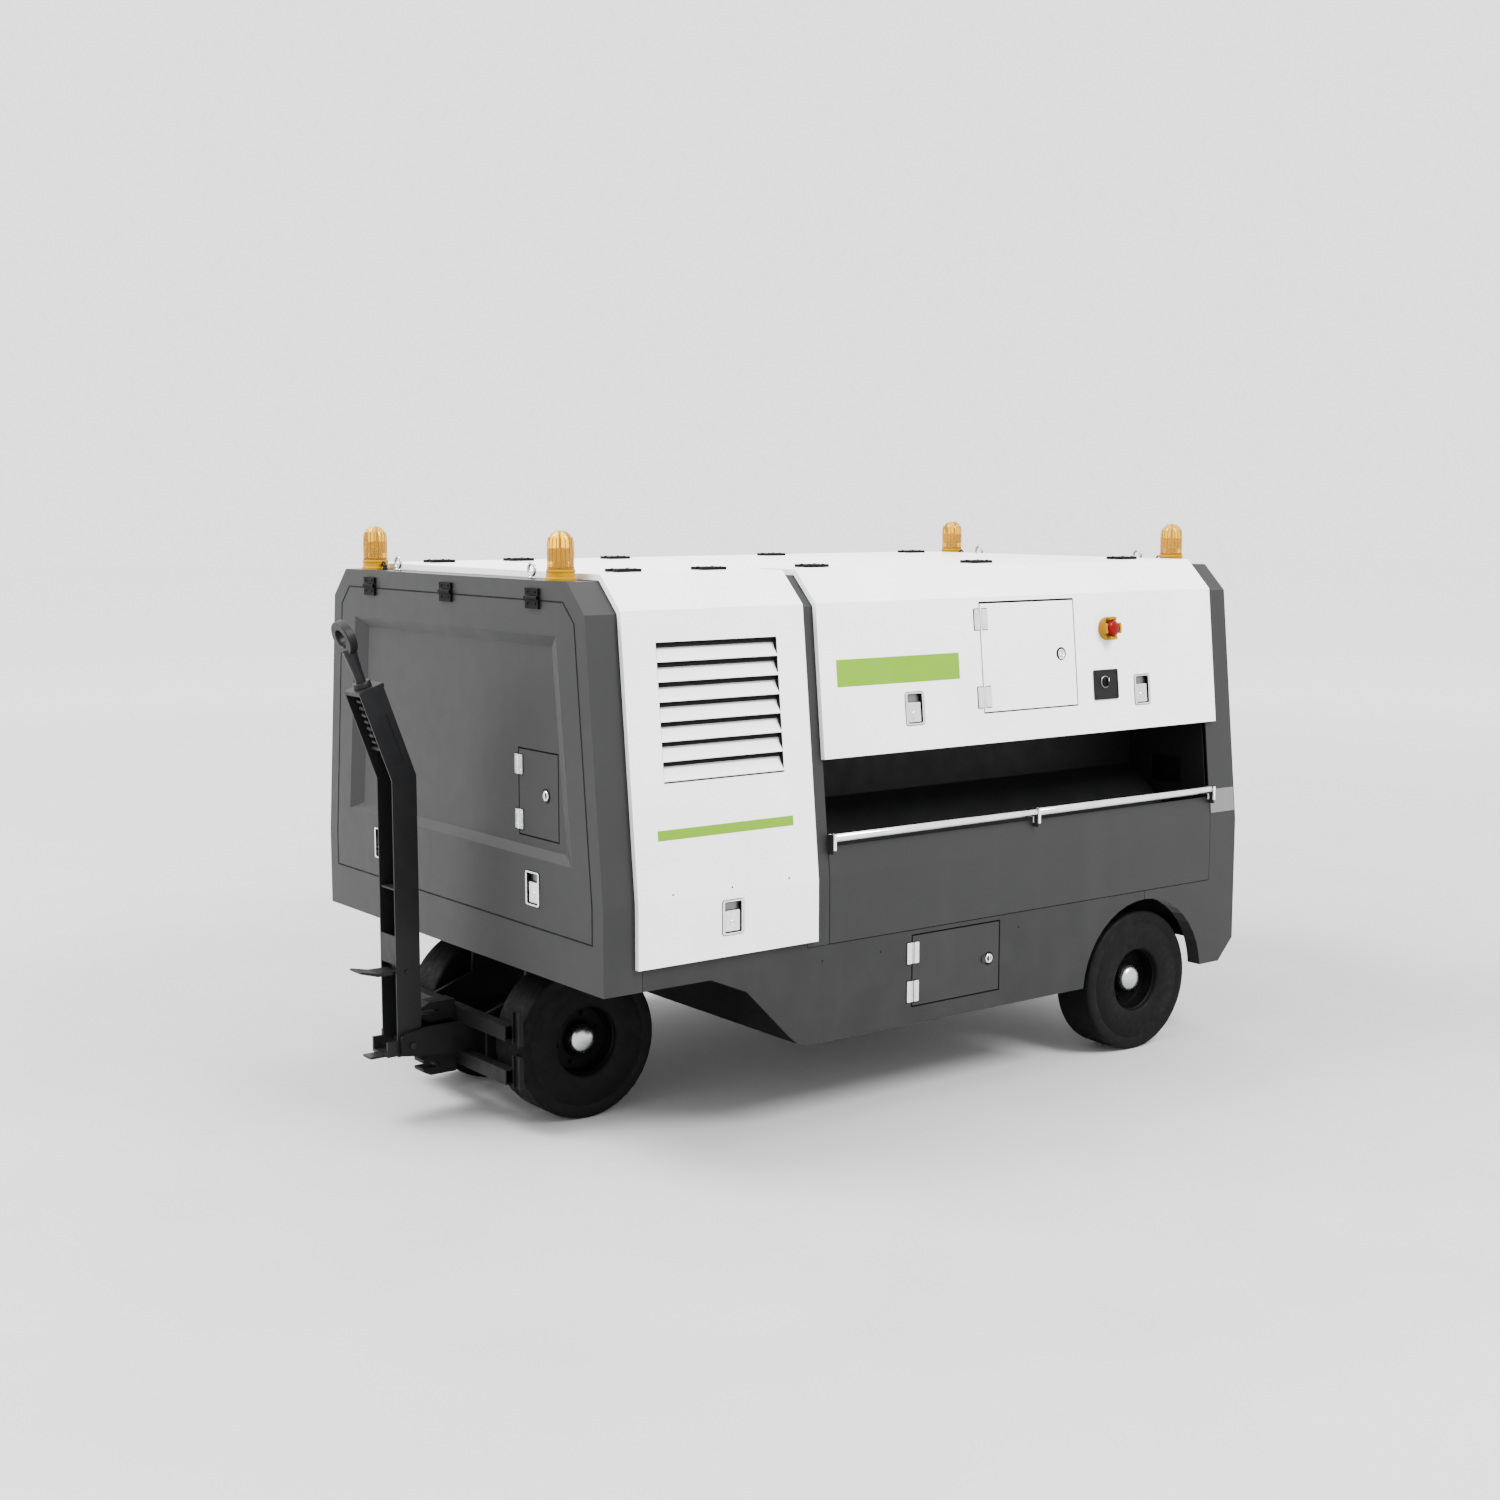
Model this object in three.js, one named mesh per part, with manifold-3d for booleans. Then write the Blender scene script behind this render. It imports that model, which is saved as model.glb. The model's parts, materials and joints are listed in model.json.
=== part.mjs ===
// Towable electric ground-power trolley: a box body on a steered twin-wheel bogie and a rear axle.
// Millimetres. X runs from the towbar end (front face, x = 0 before the final shift) to the rear,
// Y to the trolley's left seen from its towbar end looking back, Z up from the ground.
import * as THREE from 'three';
import { mergeVertices } from 'three/addons/utils/BufferGeometryUtils.js';
import Module from 'manifold-3d';

const wasm = await Module();
wasm.setup();

// ---------------------------------------------------------------- driving dimensions
const GAP = 0.3; // clearance between pieces that rest on each other
const SHEET = 6; // body sheet and flange thickness

const BODY_LENGTH = 3100;
const BELT_HALF = 1003; // half width from the floor up to the belt
const SHOULDER_HALF = 909;
const ROOF_HALF = 805;
const FLOOR_Z = 602; // underside of the front overhang
const SKIRT_Z = 308; // lowest edge of the side skirts
const BELT_Z = 895;
const SHOULDER_Z = 1835;
const ROOF_Z = 1938;

const FRAME_RIM = 66; // visible width of the end frames around their openings
const FRAME_DEPTH = 150;
const APRON_Z = 765; // lower edge of the openings in the end frames
const MID_FRAME_X = [842, 938];
const REAR_FRAME_X = 2945;
const REAR_APRON_Z = 400;

const DOOR_PROUD = 22; // outer face of the doors above the frames
const DOOR_SEAL = 2; // gap between doors and frames
const DOOR_SKIN = 4;
const DOOR_LIP = 15;
const HINGE_Y = 651; // gull-wing hinge line
const FRONT_DOOR_X = [122, 872];
const MAIN_DOOR_X = [930, 2982];
const DOOR_FOOT_Z = 680;
const TRAY_DOOR_FOOT_Z = 1305; // lower edge of the short door above the cable tray

const LOUVRE = { x: [252, 750], z: [1285, 1740], blades: 7, thickness: 3, depth: 12 };

const TRAY = {
  x: [944, 2940], wall: 4, lipY: -978, lipZ: 994, troughZ: 880, floorY: -850,
  backY: -560, bendZ: 1095, topZ: 1298, coverY: -948,
};
const TRAY_PANEL = { x: [941, 2943], z: [658, 1000] };
const ROLLER = { radius: 16, neck: 6, y: -1009, z: 1033, x: [948, 2932], bracket: 10, clearance: 2 };

const CONTROL_HATCH = { x: [1703, 2188], z: [1423, 1823] };
const NOSE_HATCH = { y: [-696, -445], z: [1070, 1361] };
const LOWER_HATCH = { x: [1329, 1759], z: [376, 634] };
const HATCH_GAP = 6;
const HATCH_SHEET = 4;

const TYRE = { radius: 282, width: 175, bore: 128, shoulder: 12, sides: 24 };
const RIM = { barrel: 122, hub: 58, bore: 33, boreEnd: 48, cap: 52, lip: 75 };
const FRONT_AXLE = { x: 309, y: 327.5 };
const REAR_AXLE = { x: 2571, y: 874.5 };
const ARCH = { x: 2560, z: 280, radius: 342, linerDepth: 62, linerThickness: 4 };

const DECK_Z = [640, 650];
const FRONT_RAIL = { y: [340, 420], z: FLOOR_Z + 3 };
const REAR_RAIL = { y: [520, 600], z: 560 };
const CROSS_MEMBER = { width: 60, frontX: [153, 500], rearX: [2400, 2840], rearZ: 580 };
const LEAF_SPRING = { halfSpan: 299, y: [528, 592], camber: 62, thickness: 24, eyeRadius: 19, beam: 40 };
const SPINDLE_REACH = 44; // stub axles beyond the wheel's middle plane
const SPINDLE_RADIUS = 31.5;
const REAR_VENT = { y: [-520, 520], z: [1180, 1640], blades: 8 };
const NOSE = { depth: 34, recess: 25, gap: 3 };
const NOSE_PADDLE_Y = [-565, 565];
const NOSE_PADDLE_Z = 896;
const TUB = { x: [800, 2190], y: 985, z: 320, wall: 5 };

const SLEW_RING = { outer: 190, inner: 120, height: 26 };
const BOGIE = {
  plateY: [186, 202], plateFront: 20, topRadius: 196, topThickness: 24, armY: [68, 80],
  beamX: [-18, 22], beamHalf: 395, beamsZ: [[175, 228], [332, 385]], tubeWall: 5, tubeDepth: 55,
  bracketY: [396, 453], bracketX: [14, 22],
};
const CLAW = { x: [-148, -17], halfWidth: 35, rangesZ: [[145, 218], [341, 412]], jaw: 26, throat: -90 };

const TOWBAR = {
  x: -213, z: 280, footZ: 240, halfWidth: 60, depth: 94, plate: 6, kinkZ: 1235, armLength: 340, bend: 20.5,
};
const PIN = { radius: 12, clearance: 0.6 };
const PEDAL_PIN = { x: -220, z: 545, radius: 8 };
const TOW_EYE = { reach: 190, outer: 62, hole: 34, thickness: 30, stem: 16 };
const SPRING = { wire: 6.5, coil: 32, turns: 7, length: 180 };

// ---------------------------------------------------------------- materials
const paint = (color, roughness = 0.55, metalness = 0.1) =>
  new THREE.MeshStandardMaterial({ color, roughness, metalness });
const finish = {
  frameGrey: () => paint(0x5c5c5d),
  doorWhite: () => paint(0xf0f0f0, 0.4),
  chassisBlack: () => paint(0x1c1d1f, 0.7),
  towbarBlack: () => paint(0x2d2e30, 0.6),
  trayBlack: () => paint(0x202122, 0.8),
  steel: () => paint(0xc9ccce, 0.3, 0.9),
  rubber: () => paint(0x141414, 0.85, 0),
  amber: () => paint(0xe8a01c, 0.25, 0),
  yellow: () => paint(0xe2a515, 0.5, 0),
  red: () => paint(0xc3261b, 0.4, 0),
  knobBlack: () => paint(0x1a1a1a, 0.5, 0),
  battery: () => paint(0x3a4a5a, 0.6),
  cabinet: () => paint(0x9aa0a4, 0.5),
};

// ---------------------------------------------------------------- geometry helpers
const X_AXIS = new THREE.Vector3(1, 0, 0);
const Y_AXIS = new THREE.Vector3(0, 1, 0);
const Z_AXIS = new THREE.Vector3(0, 0, 1);

function solid(geometry) {
  const bare = geometry.clone();
  bare.deleteAttribute('normal');
  bare.deleteAttribute('uv');
  const merged = mergeVertices(bare, 1e-4);
  const vertProperties = new Float32Array(merged.attributes.position.array);
  const triVerts = new Uint32Array(merged.index.array);
  return new wasm.Manifold(new wasm.Mesh({ numProp: 3, vertProperties, triVerts }));
}

function geometryOf(manifold) {
  const mesh = manifold.getMesh();
  const geometry = new THREE.BufferGeometry();
  geometry.setAttribute('position', new THREE.BufferAttribute(mesh.vertProperties, 3));
  geometry.setIndex(new THREE.BufferAttribute(mesh.triVerts, 1));
  geometry.computeVertexNormals();
  return geometry;
}

const join = (...pieces) => pieces.reduce((whole, piece) => whole.add(piece));
const cut = (whole, ...tools) => tools.reduce((rest, tool) => rest.subtract(tool), whole);

function box([x0, x1], [y0, y1], [z0, z1]) {
  const geometry = new THREE.BoxGeometry(x1 - x0, y1 - y0, z1 - z0);
  return solid(geometry.translate((x0 + x1) / 2, (y0 + y1) / 2, (z0 + z1) / 2));
}

// Extrudes an outline; basis holds the directions of the outline's two axes and of the extrusion.
function prism(outline, from, to, basis) {
  const shape = new THREE.Shape(outline.map(([u, v]) => new THREE.Vector2(u, v)));
  const geometry = new THREE.ExtrudeGeometry(shape, { depth: to - from, bevelEnabled: false });
  geometry.translate(0, 0, from);
  return solid(geometry.applyMatrix4(new THREE.Matrix4().makeBasis(...basis)));
}

// Outline in (y, z), running along X.
const prismX = (outline, [x0, x1]) => prism(outline, x0, x1, [Y_AXIS, Z_AXIS, X_AXIS]);
// Outline in (x, z), running along Y.
const prismY = (outline, [y0, y1]) =>
  prism(outline, -y1, -y0, [X_AXIS, Z_AXIS, Y_AXIS.clone().negate()]);

// Round bar between two points.
function bar(from, to, radius, sides = 24, endRadius = radius) {
  const start = new THREE.Vector3(...from);
  const end = new THREE.Vector3(...to);
  const along = end.clone().sub(start);
  const geometry = new THREE.CylinderGeometry(endRadius, radius, along.length(), sides);
  const turn = new THREE.Quaternion().setFromUnitVectors(Y_AXIS, along.normalize());
  geometry.applyQuaternion(turn);
  const middle = start.add(end).multiplyScalar(0.5);
  return solid(geometry.translate(middle.x, middle.y, middle.z));
}

// Frustum along X between two convex outlines in (y, z) with the same number of points.
function taperX(outer, inner, [x0, x1]) {
  const count = outer.length;
  const positions = [];
  outer.forEach(([y, z]) => positions.push(x0, y, z));
  inner.forEach(([y, z]) => positions.push(x1, y, z));
  const index = [];
  for (let i = 0; i < count; i += 1) {
    const next = (i + 1) % count;
    index.push(i, i + count, next, next, i + count, next + count);
  }
  for (let i = 1; i < count - 1; i += 1) {
    index.push(0, i, i + 1);
    index.push(count, count + i + 1, count + i);
  }
  const geometry = new THREE.BufferGeometry();
  geometry.setAttribute('position', new THREE.Float32BufferAttribute(positions, 3));
  geometry.setIndex(index.reverse());
  return solid(geometry);
}

// Moves an outline outwards, to the right of its direction of travel, with mitred corners.
function offset(points, distance, closed = false) {
  const count = points.length;
  const normalOf = (a, b) => {
    const length = Math.hypot(b[0] - a[0], b[1] - a[1]);
    return [(b[1] - a[1]) / length, (a[0] - b[0]) / length];
  };
  return points.map((point, i) => {
    const before = closed || i > 0 ? points[(i + count - 1) % count] : null;
    const after = closed || i < count - 1 ? points[(i + 1) % count] : null;
    const first = before ? normalOf(before, point) : normalOf(point, after);
    const second = after ? normalOf(point, after) : first;
    const scale = distance / (1 + first[0] * second[0] + first[1] * second[1]);
    return [point[0] + (first[0] + second[0]) * scale, point[1] + (first[1] + second[1]) * scale];
  });
}

// Range in Y between two distances from the middle plane, on the left (1) or the right (-1).
const onHand = (hand, [inner, outer]) => [hand * inner, hand * outer].sort((a, b) => a - b);
const widened = ([low, high], margin) => [low - margin, high + margin];

const band = (line, outer, inner) => [...offset(line, outer), ...offset(line, inner).reverse()];
const mirrored = (geometry) => {
  const copy = geometry.clone().scale(1, -1, 1);
  copy.setIndex(new THREE.BufferAttribute(geometry.index.array.slice().reverse(), 1));
  copy.computeVertexNormals();
  return copy;
};

// ---------------------------------------------------------------- body cross-section
const slope = (BELT_HALF - SHOULDER_HALF) / (SHOULDER_Z - BELT_Z);
const TILT = Math.atan(slope);
const halfWidthAt = (z) => (z <= BELT_Z ? BELT_HALF : BELT_HALF - slope * (z - BELT_Z));

// Left-hand side line in (y, z), from a foot height up and over the shoulder to a roof end.
function sideLine(footZ, roofY) {
  const line = [[halfWidthAt(footZ), footZ]];
  if (footZ < BELT_Z) {
    line.push([BELT_HALF, BELT_Z]);
  }
  line.push([SHOULDER_HALF, SHOULDER_Z], [ROOF_HALF, ROOF_Z], [roofY, ROOF_Z]);
  return line;
}

function bodyOutline(footZ) {
  const left = sideLine(footZ, 0).slice(0, -1);
  return [...left, ...left.map(([y, z]) => [-y, z]).reverse()];
}

const openingOutline = (inset) => offset(bodyOutline(APRON_Z - FRAME_RIM), -FRAME_RIM - inset, true);

function hoopSkin(footZ, xRange) {
  const outline = bodyOutline(footZ);
  return cut(prismX(outline, xRange), prismX(offset(outline, -SHEET, true), widened(xRange, 1)));
}

// ---------------------------------------------------------------- body structure
function frontFrame() {
  const opening = prismX(openingOutline(0), [-1, SHEET + 1]);
  const flange = cut(prismX(bodyOutline(FLOOR_Z), [0, SHEET]), opening);
  return join(hoopSkin(FLOOR_Z, [0, FRAME_DEPTH]), flange);
}

function midFrame() {
  const foot = TRAY_PANEL.z[0] - 1;
  const outline = bodyOutline(foot);
  const middle = (MID_FRAME_X[0] + MID_FRAME_X[1]) / 2;
  const webX = widened([middle, middle], SHEET / 2);
  const bore = prismX(offset(outline, -FRAME_RIM, true), widened(webX, 1));
  return join(hoopSkin(foot, MID_FRAME_X), cut(prismX(outline, webX), bore));
}

function archPoints(fromDegrees, toDegrees, steps, radius = ARCH.radius) {
  const points = [];
  for (let i = 0; i <= steps; i += 1) {
    const angle = THREE.MathUtils.degToRad(fromDegrees + ((toDegrees - fromDegrees) * i) / steps);
    points.push([ARCH.x + radius * Math.cos(angle), ARCH.z + radius * Math.sin(angle)]);
  }
  return points;
}

// Rolled liner along the edge of a wheel arch, turned inwards from the skirt.
function archLiner(fromDegrees, toDegrees, hand) {
  const outer = archPoints(fromDegrees, toDegrees, 10, ARCH.radius + ARCH.linerThickness);
  const inner = archPoints(fromDegrees, toDegrees, 10).reverse();
  return prismY([...outer, ...inner], onHand(hand, [BELT_HALF - ARCH.linerDepth, BELT_HALF - 1]));
}

const archFoot = THREE.MathUtils.radToDeg(Math.asin((SKIRT_Z - ARCH.z) / ARCH.radius));
const SKIRT_PLATE = 8;
const SKIRT_TOP_Z = 655;

function rearFrame() {
  const flangeX = [BODY_LENGTH - SHEET, BODY_LENGTH];
  const opening = prismX(openingOutline(0), widened(flangeX, 1));
  const flange = cut(prismX(bodyOutline(REAR_APRON_Z), flangeX), opening);
  const legOutline = [
    [ARCH.x + 1, SKIRT_TOP_Z],
    ...archPoints(89.8, archFoot, 10),
    [BODY_LENGTH - 84, SKIRT_Z],
    [BODY_LENGTH, REAR_APRON_Z - 3],
    [BODY_LENGTH, SKIRT_TOP_Z],
  ];
  const legs = [-1, 1].flatMap((hand) => [
    prismY(legOutline, onHand(hand, [BELT_HALF - SKIRT_PLATE, BELT_HALF])),
    archLiner(89.8, archFoot, hand),
  ]);
  return join(hoopSkin(REAR_APRON_Z, [REAR_FRAME_X, BODY_LENGTH]), flange, ...legs);
}

function rearPanel() {
  const outline = openingOutline(NOSE.gap);
  const [inside, outside] = [BODY_LENGTH - 25, BODY_LENGTH];
  const pocket = prismX(offset(outline, -DOOR_LIP, true), [inside - 1, outside - DOOR_SKIN]);
  const { y, z, blades } = REAR_VENT;
  let panel = cut(prismX(outline, [inside, outside]), pocket, box([inside - 1, outside + 1], y, z));
  const pitch = (z[1] - z[0]) / blades;
  for (let i = 0; i < blades; i += 1) {
    const foot = z[0] + i * pitch;
    const rise = foot + pitch * 0.8;
    const blade = [[outside - 3, foot], [outside, foot], [outside - 17, rise], [outside - 20, rise]];
    panel = panel.add(prismY(blade, widened(y, 1)));
  }
  return panel;
}

function skirt() {
  const outline = [
    [FRAME_DEPTH + 2, FLOOR_Z],
    [427, FLOOR_Z],
    [579, 538],
    [764, 351],
    [800, 322],
    [852, SKIRT_Z],
    ...archPoints(180 - archFoot, 90.2, 10),
    [ARCH.x - 1, SKIRT_TOP_Z],
    [MID_FRAME_X[0] - 2, SKIRT_TOP_Z],
    [MID_FRAME_X[0] - 2, DOOR_FOOT_Z + 20],
    [FRAME_DEPTH + 2, DOOR_FOOT_Z + 20],
  ];
  return join(prismY(outline, [BELT_HALF - SKIRT_PLATE, BELT_HALF]), archLiner(180 - archFoot, 90.2, 1));
}

function lowerHatchHole(margin) {
  const { x, z } = LOWER_HATCH;
  return box([x[0] - margin, x[1] + margin], [-BELT_HALF - 1, -TUB.y + 20], [z[0] - margin, z[1] + margin]);
}

function roofPanel() {
  const edge = HINGE_Y - 1.5;
  const underside = ROOF_Z + GAP;
  const top = ROOF_Z + DOOR_PROUD;
  const xRange = [FRONT_DOOR_X[0], MAIN_DOOR_X[1]];
  const bays = [
    [xRange[0] + FRAME_DEPTH / 2, MID_FRAME_X[0] - DOOR_LIP],
    [MID_FRAME_X[1] + DOOR_LIP, REAR_FRAME_X - DOOR_LIP],
  ];
  const pockets = bays.map((bay) =>
    box(bay, [-edge + DOOR_LIP, edge - DOOR_LIP], [underside - 1, top - DOOR_SKIN]));
  return cut(box(xRange, [-edge, edge], [underside, top]), ...pockets);
}

// ---------------------------------------------------------------- chassis and running gear
function chassis() {
  const [deckLow, deckHigh] = DECK_Z;
  const joint = deckLow + 1;
  const deckX = [FRAME_DEPTH + 3, REAR_FRAME_X - 2];
  const batteryWell = box([880, 2120], [-700, 700], [deckLow - 1, deckHigh + 1]);
  const deck = cut(box(deckX, [-TUB.y, TUB.y], DECK_Z), batteryWell);
  const rails = [-1, 1].flatMap((hand) => [
    box([deckX[0], TUB.x[0] + 1], onHand(hand, FRONT_RAIL.y), [FRONT_RAIL.z, joint]),
    box([TUB.x[1] - 1, deckX[1]], onHand(hand, REAR_RAIL.y), [REAR_RAIL.z, joint]),
  ]);
  const { width, frontX, rearX, rearZ } = CROSS_MEMBER;
  const crossMembers = [
    ...frontX.map((x) => box([x, x + width], [-FRONT_RAIL.y[0], FRONT_RAIL.y[0]], [FRONT_RAIL.z, joint])),
    ...rearX.map((x) => box([x, x + width], [-REAR_RAIL.y[0], REAR_RAIL.y[0]], [rearZ, joint])),
  ];
  const turntableSeat = box([deckX[0], 2 * FRONT_AXLE.x - deckX[0]], [-230, 230], [FLOOR_Z, joint]);
  const tub = cut(
    box(TUB.x, [-TUB.y, TUB.y], [TUB.z, joint]),
    box(widened(TUB.x, -TUB.wall), [-TUB.y + TUB.wall, TUB.y - TUB.wall], [TUB.z + TUB.wall, joint + 1]),
  );
  const hangerFoot = 430;
  const hangers = [-1, 1].flatMap((hand) => [-1, 1].map((end) => {
    const x = REAR_AXLE.x + end * LEAF_SPRING.halfSpan;
    const outline = [
      [x - 36, REAR_RAIL.z + 2], [x + 36, REAR_RAIL.z + 2], [x + 22, hangerFoot], [x - 22, hangerFoot],
    ];
    return prismY(outline, onHand(hand, widened(LEAF_SPRING.y, 4)));
  }));
  return cut(join(deck, tub, turntableSeat, ...rails, ...crossMembers, ...hangers), lowerHatchHole(-12));
}

function rearAxle() {
  const { x } = REAR_AXLE;
  const z = TYRE.radius;
  const { halfSpan, camber, thickness, eyeRadius, beam } = LEAF_SPRING;
  const tube = box([x - beam, x + beam], [-770, 770], [z - beam, z + beam]);
  const spindles = [-1, 1].map((hand) =>
    bar([x, hand * 760, z], [x, hand * (REAR_AXLE.y + SPINDLE_REACH), z], SPINDLE_RADIUS, 16));
  const springs = [-1, 1].flatMap((hand) => {
    const faces = onHand(hand, LEAF_SPRING.y);
    const leafZ = z + beam + 16;
    const arch = [];
    const steps = 8;
    for (let i = 0; i <= steps; i += 1) {
      const along = -1 + (2 * i) / steps;
      arch.push([x + halfSpan * along, leafZ + camber * along * along]);
    }
    const leaves = [...arch, ...arch.map(([u, v]) => [u, v + thickness]).reverse()];
    const eyeZ = leafZ + camber + 10;
    const eyes = [-halfSpan, halfSpan].map((dx) =>
      bar([x + dx, faces[0], eyeZ], [x + dx, faces[1], eyeZ], eyeRadius, 12));
    const saddle = box([x - 60, x + 60], faces, [z + beam - 2, leafZ + 8]);
    return [prismY(leaves, faces), ...eyes, saddle];
  });
  return join(tube, ...spindles, ...springs);
}

function slewRing() {
  const top = FLOOR_Z - GAP;
  const foot = top - SLEW_RING.height;
  const ring = bar([FRONT_AXLE.x, 0, foot], [FRONT_AXLE.x, 0, top], SLEW_RING.outer, 32);
  return cut(ring, bar([FRONT_AXLE.x, 0, foot - 1], [FRONT_AXLE.x, 0, top + 1], SLEW_RING.inner, 32));
}

// Coupling jaw on the middle of a beam, open to the front.
function claw([low, high]) {
  const { x, halfWidth, jaw, throat } = CLAW;
  const chamfer = 14;
  const middle = (low + high) / 2;
  return prismY([
    [x[1], low], [x[0] + 2 * chamfer, low], [x[0], low + chamfer], [x[0], low + jaw], [throat, low + jaw],
    [throat + chamfer, middle], [throat, high - jaw], [x[0], high - jaw], [x[0], high - chamfer],
    [x[0] + 2 * chamfer, high], [x[1], high],
  ], [-halfWidth, halfWidth]);
}

// Square tube across the bogie with open ends, and an upright U-bracket outside each end.
function bogieBeam([low, high]) {
  const { beamX, beamHalf, tubeWall, tubeDepth, bracketX, bracketY } = BOGIE;
  const tube = box(beamX, [-beamHalf, beamHalf], [low, high]);
  const bore = widened(beamX, -tubeWall);
  const boreZ = widened([low, high], -tubeWall);
  const bracketZ = [low - 12, high + 50];
  const finX = [bracketX[0] - 10, bracketX[1]];
  const ends = [-1, 1].map((hand) => ({
    pocket: box(bore, onHand(hand, [beamHalf - tubeDepth, beamHalf + 1]), boreZ),
    bracket: join(
      box(bracketX, onHand(hand, [beamHalf - tubeWall, bracketY[1]]), bracketZ),
      box(finX, onHand(hand, widened([bracketY[0] + 12, bracketY[0] + 12], 3)), bracketZ),
      box(finX, onHand(hand, [bracketY[1] - 6, bracketY[1]]), bracketZ),
    ),
  }));
  return join(cut(tube, ...ends.map((end) => end.pocket)), ...ends.map((end) => end.bracket));
}

// Twin side plates under the slewing ring, two cross beams ahead of the wheels and the towbar's yoke.
function bogieFrame() {
  const { x } = FRONT_AXLE;
  const z = TYRE.radius;
  const { plateY, plateFront, topRadius, topThickness, armY, beamsZ, beamX } = BOGIE;
  const [[lowFoot, lowTop], [highFoot, highTop]] = beamsZ;
  const plateTop = FLOOR_Z - SLEW_RING.height - 2 * GAP;
  const top = bar([x, 0, plateTop - topThickness], [x, 0, plateTop], topRadius, 32);
  const side = [
    [plateFront, lowFoot + 1], [x - 150, 160], [x - 30, z - 60], [x + 60, z - 60], [x + 150, 420],
    [x + 120, plateTop - 20], [x - 120, plateTop - 20], [x - 130, 440], [plateFront, highTop - 1],
  ];
  const plates = [-1, 1].map((hand) => prismY(side, onHand(hand, plateY)));
  const axleEnd = FRONT_AXLE.y + SPINDLE_REACH;
  const axle = bar([x, -axleEnd, z], [x, axleEnd, z], SPINDLE_RADIUS, 16);
  const shoulderEnd = FRONT_AXLE.y - 96;
  const shoulder = bar([x, -shoulderEnd, z], [x, shoulderEnd, z], 52, 16);
  const armRear = 100;
  const arm = [
    [armRear, lowTop - 6], [armRear, highFoot + 6], [-150, highFoot + 6], [-198, 330], [-236, 326],
    [-254, 314], [-254, 246], [-176, 236], [beamX[0], lowTop - 6],
  ];
  const arms = [-1, 1].map((hand) => prismY(arm, onHand(hand, armY)));
  const crossPlate = box([armRear - 10, armRear], [-plateY[0] - 1, plateY[0] + 1], [lowTop, highFoot]);
  const tie = box([-110, -60], [-armY[0] - 1, armY[0] + 1], [lowTop + 10, lowTop + 22]);
  const pinHole = bar([TOWBAR.x, -100, TOWBAR.z], [TOWBAR.x, 100, TOWBAR.z], PIN.radius + PIN.clearance, 16);
  const beams = beamsZ.map(bogieBeam);
  const claws = CLAW.rangesZ.map(claw);
  return cut(join(top, axle, shoulder, ...plates, ...beams, ...claws, ...arms, crossPlate, tie), pinHole);
}

function pivotPin() {
  const reach = TOWBAR.halfWidth + 28;
  return bar([TOWBAR.x, -reach, TOWBAR.z], [TOWBAR.x, reach, TOWBAR.z], PIN.radius, 16);
}

function lathed(profile, segments, start = 0) {
  return new THREE.LatheGeometry(profile.map(([r, h]) => new THREE.Vector2(r, h)), segments, start);
}

// Half a facet: turns a wheel so that one flat of the tread lies on the floor.
const TREAD_FLAT = Math.PI / TYRE.sides;

function tyre() {
  const half = TYRE.width / 2;
  const { radius, bore, shoulder } = TYRE;
  const tread = radius / Math.cos(TREAD_FLAT);
  return lathed([
    [bore, -half], [radius - shoulder, -half], [tread, -half + shoulder],
    [tread, half - shoulder], [radius - shoulder, half], [bore, half], [bore, -half],
  ], TYRE.sides, TREAD_FLAT);
}

// Wheel disc, hub and barrel in one pressing; the local +Y end faces away from the trolley.
function rim() {
  const outer = TYRE.bore - GAP;
  const { barrel, hub, bore, boreEnd, cap, lip } = RIM;
  return lathed([
    [0, boreEnd], [bore, boreEnd], [bore, -58], [hub, -58], [hub, 0], [barrel, 0],
    [barrel, -lip], [outer, -lip], [outer, lip], [barrel, lip], [barrel, 10], [hub, 14],
    [cap, 40], [cap - 3, 50], [38, 60], [20, 66], [0, 68],
  ], TYRE.sides, TREAD_FLAT);
}

// ---------------------------------------------------------------- towbar
const bend = THREE.MathUtils.degToRad(TOWBAR.bend);
const armAxis = [-Math.sin(bend), Math.cos(bend)];
const armNormal = [Math.cos(bend), Math.sin(bend)];
const armPoint = (along, across) => [
  TOWBAR.x + armAxis[0] * along + armNormal[0] * across,
  TOWBAR.kinkZ + armAxis[1] * along + armNormal[1] * across,
];

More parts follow.
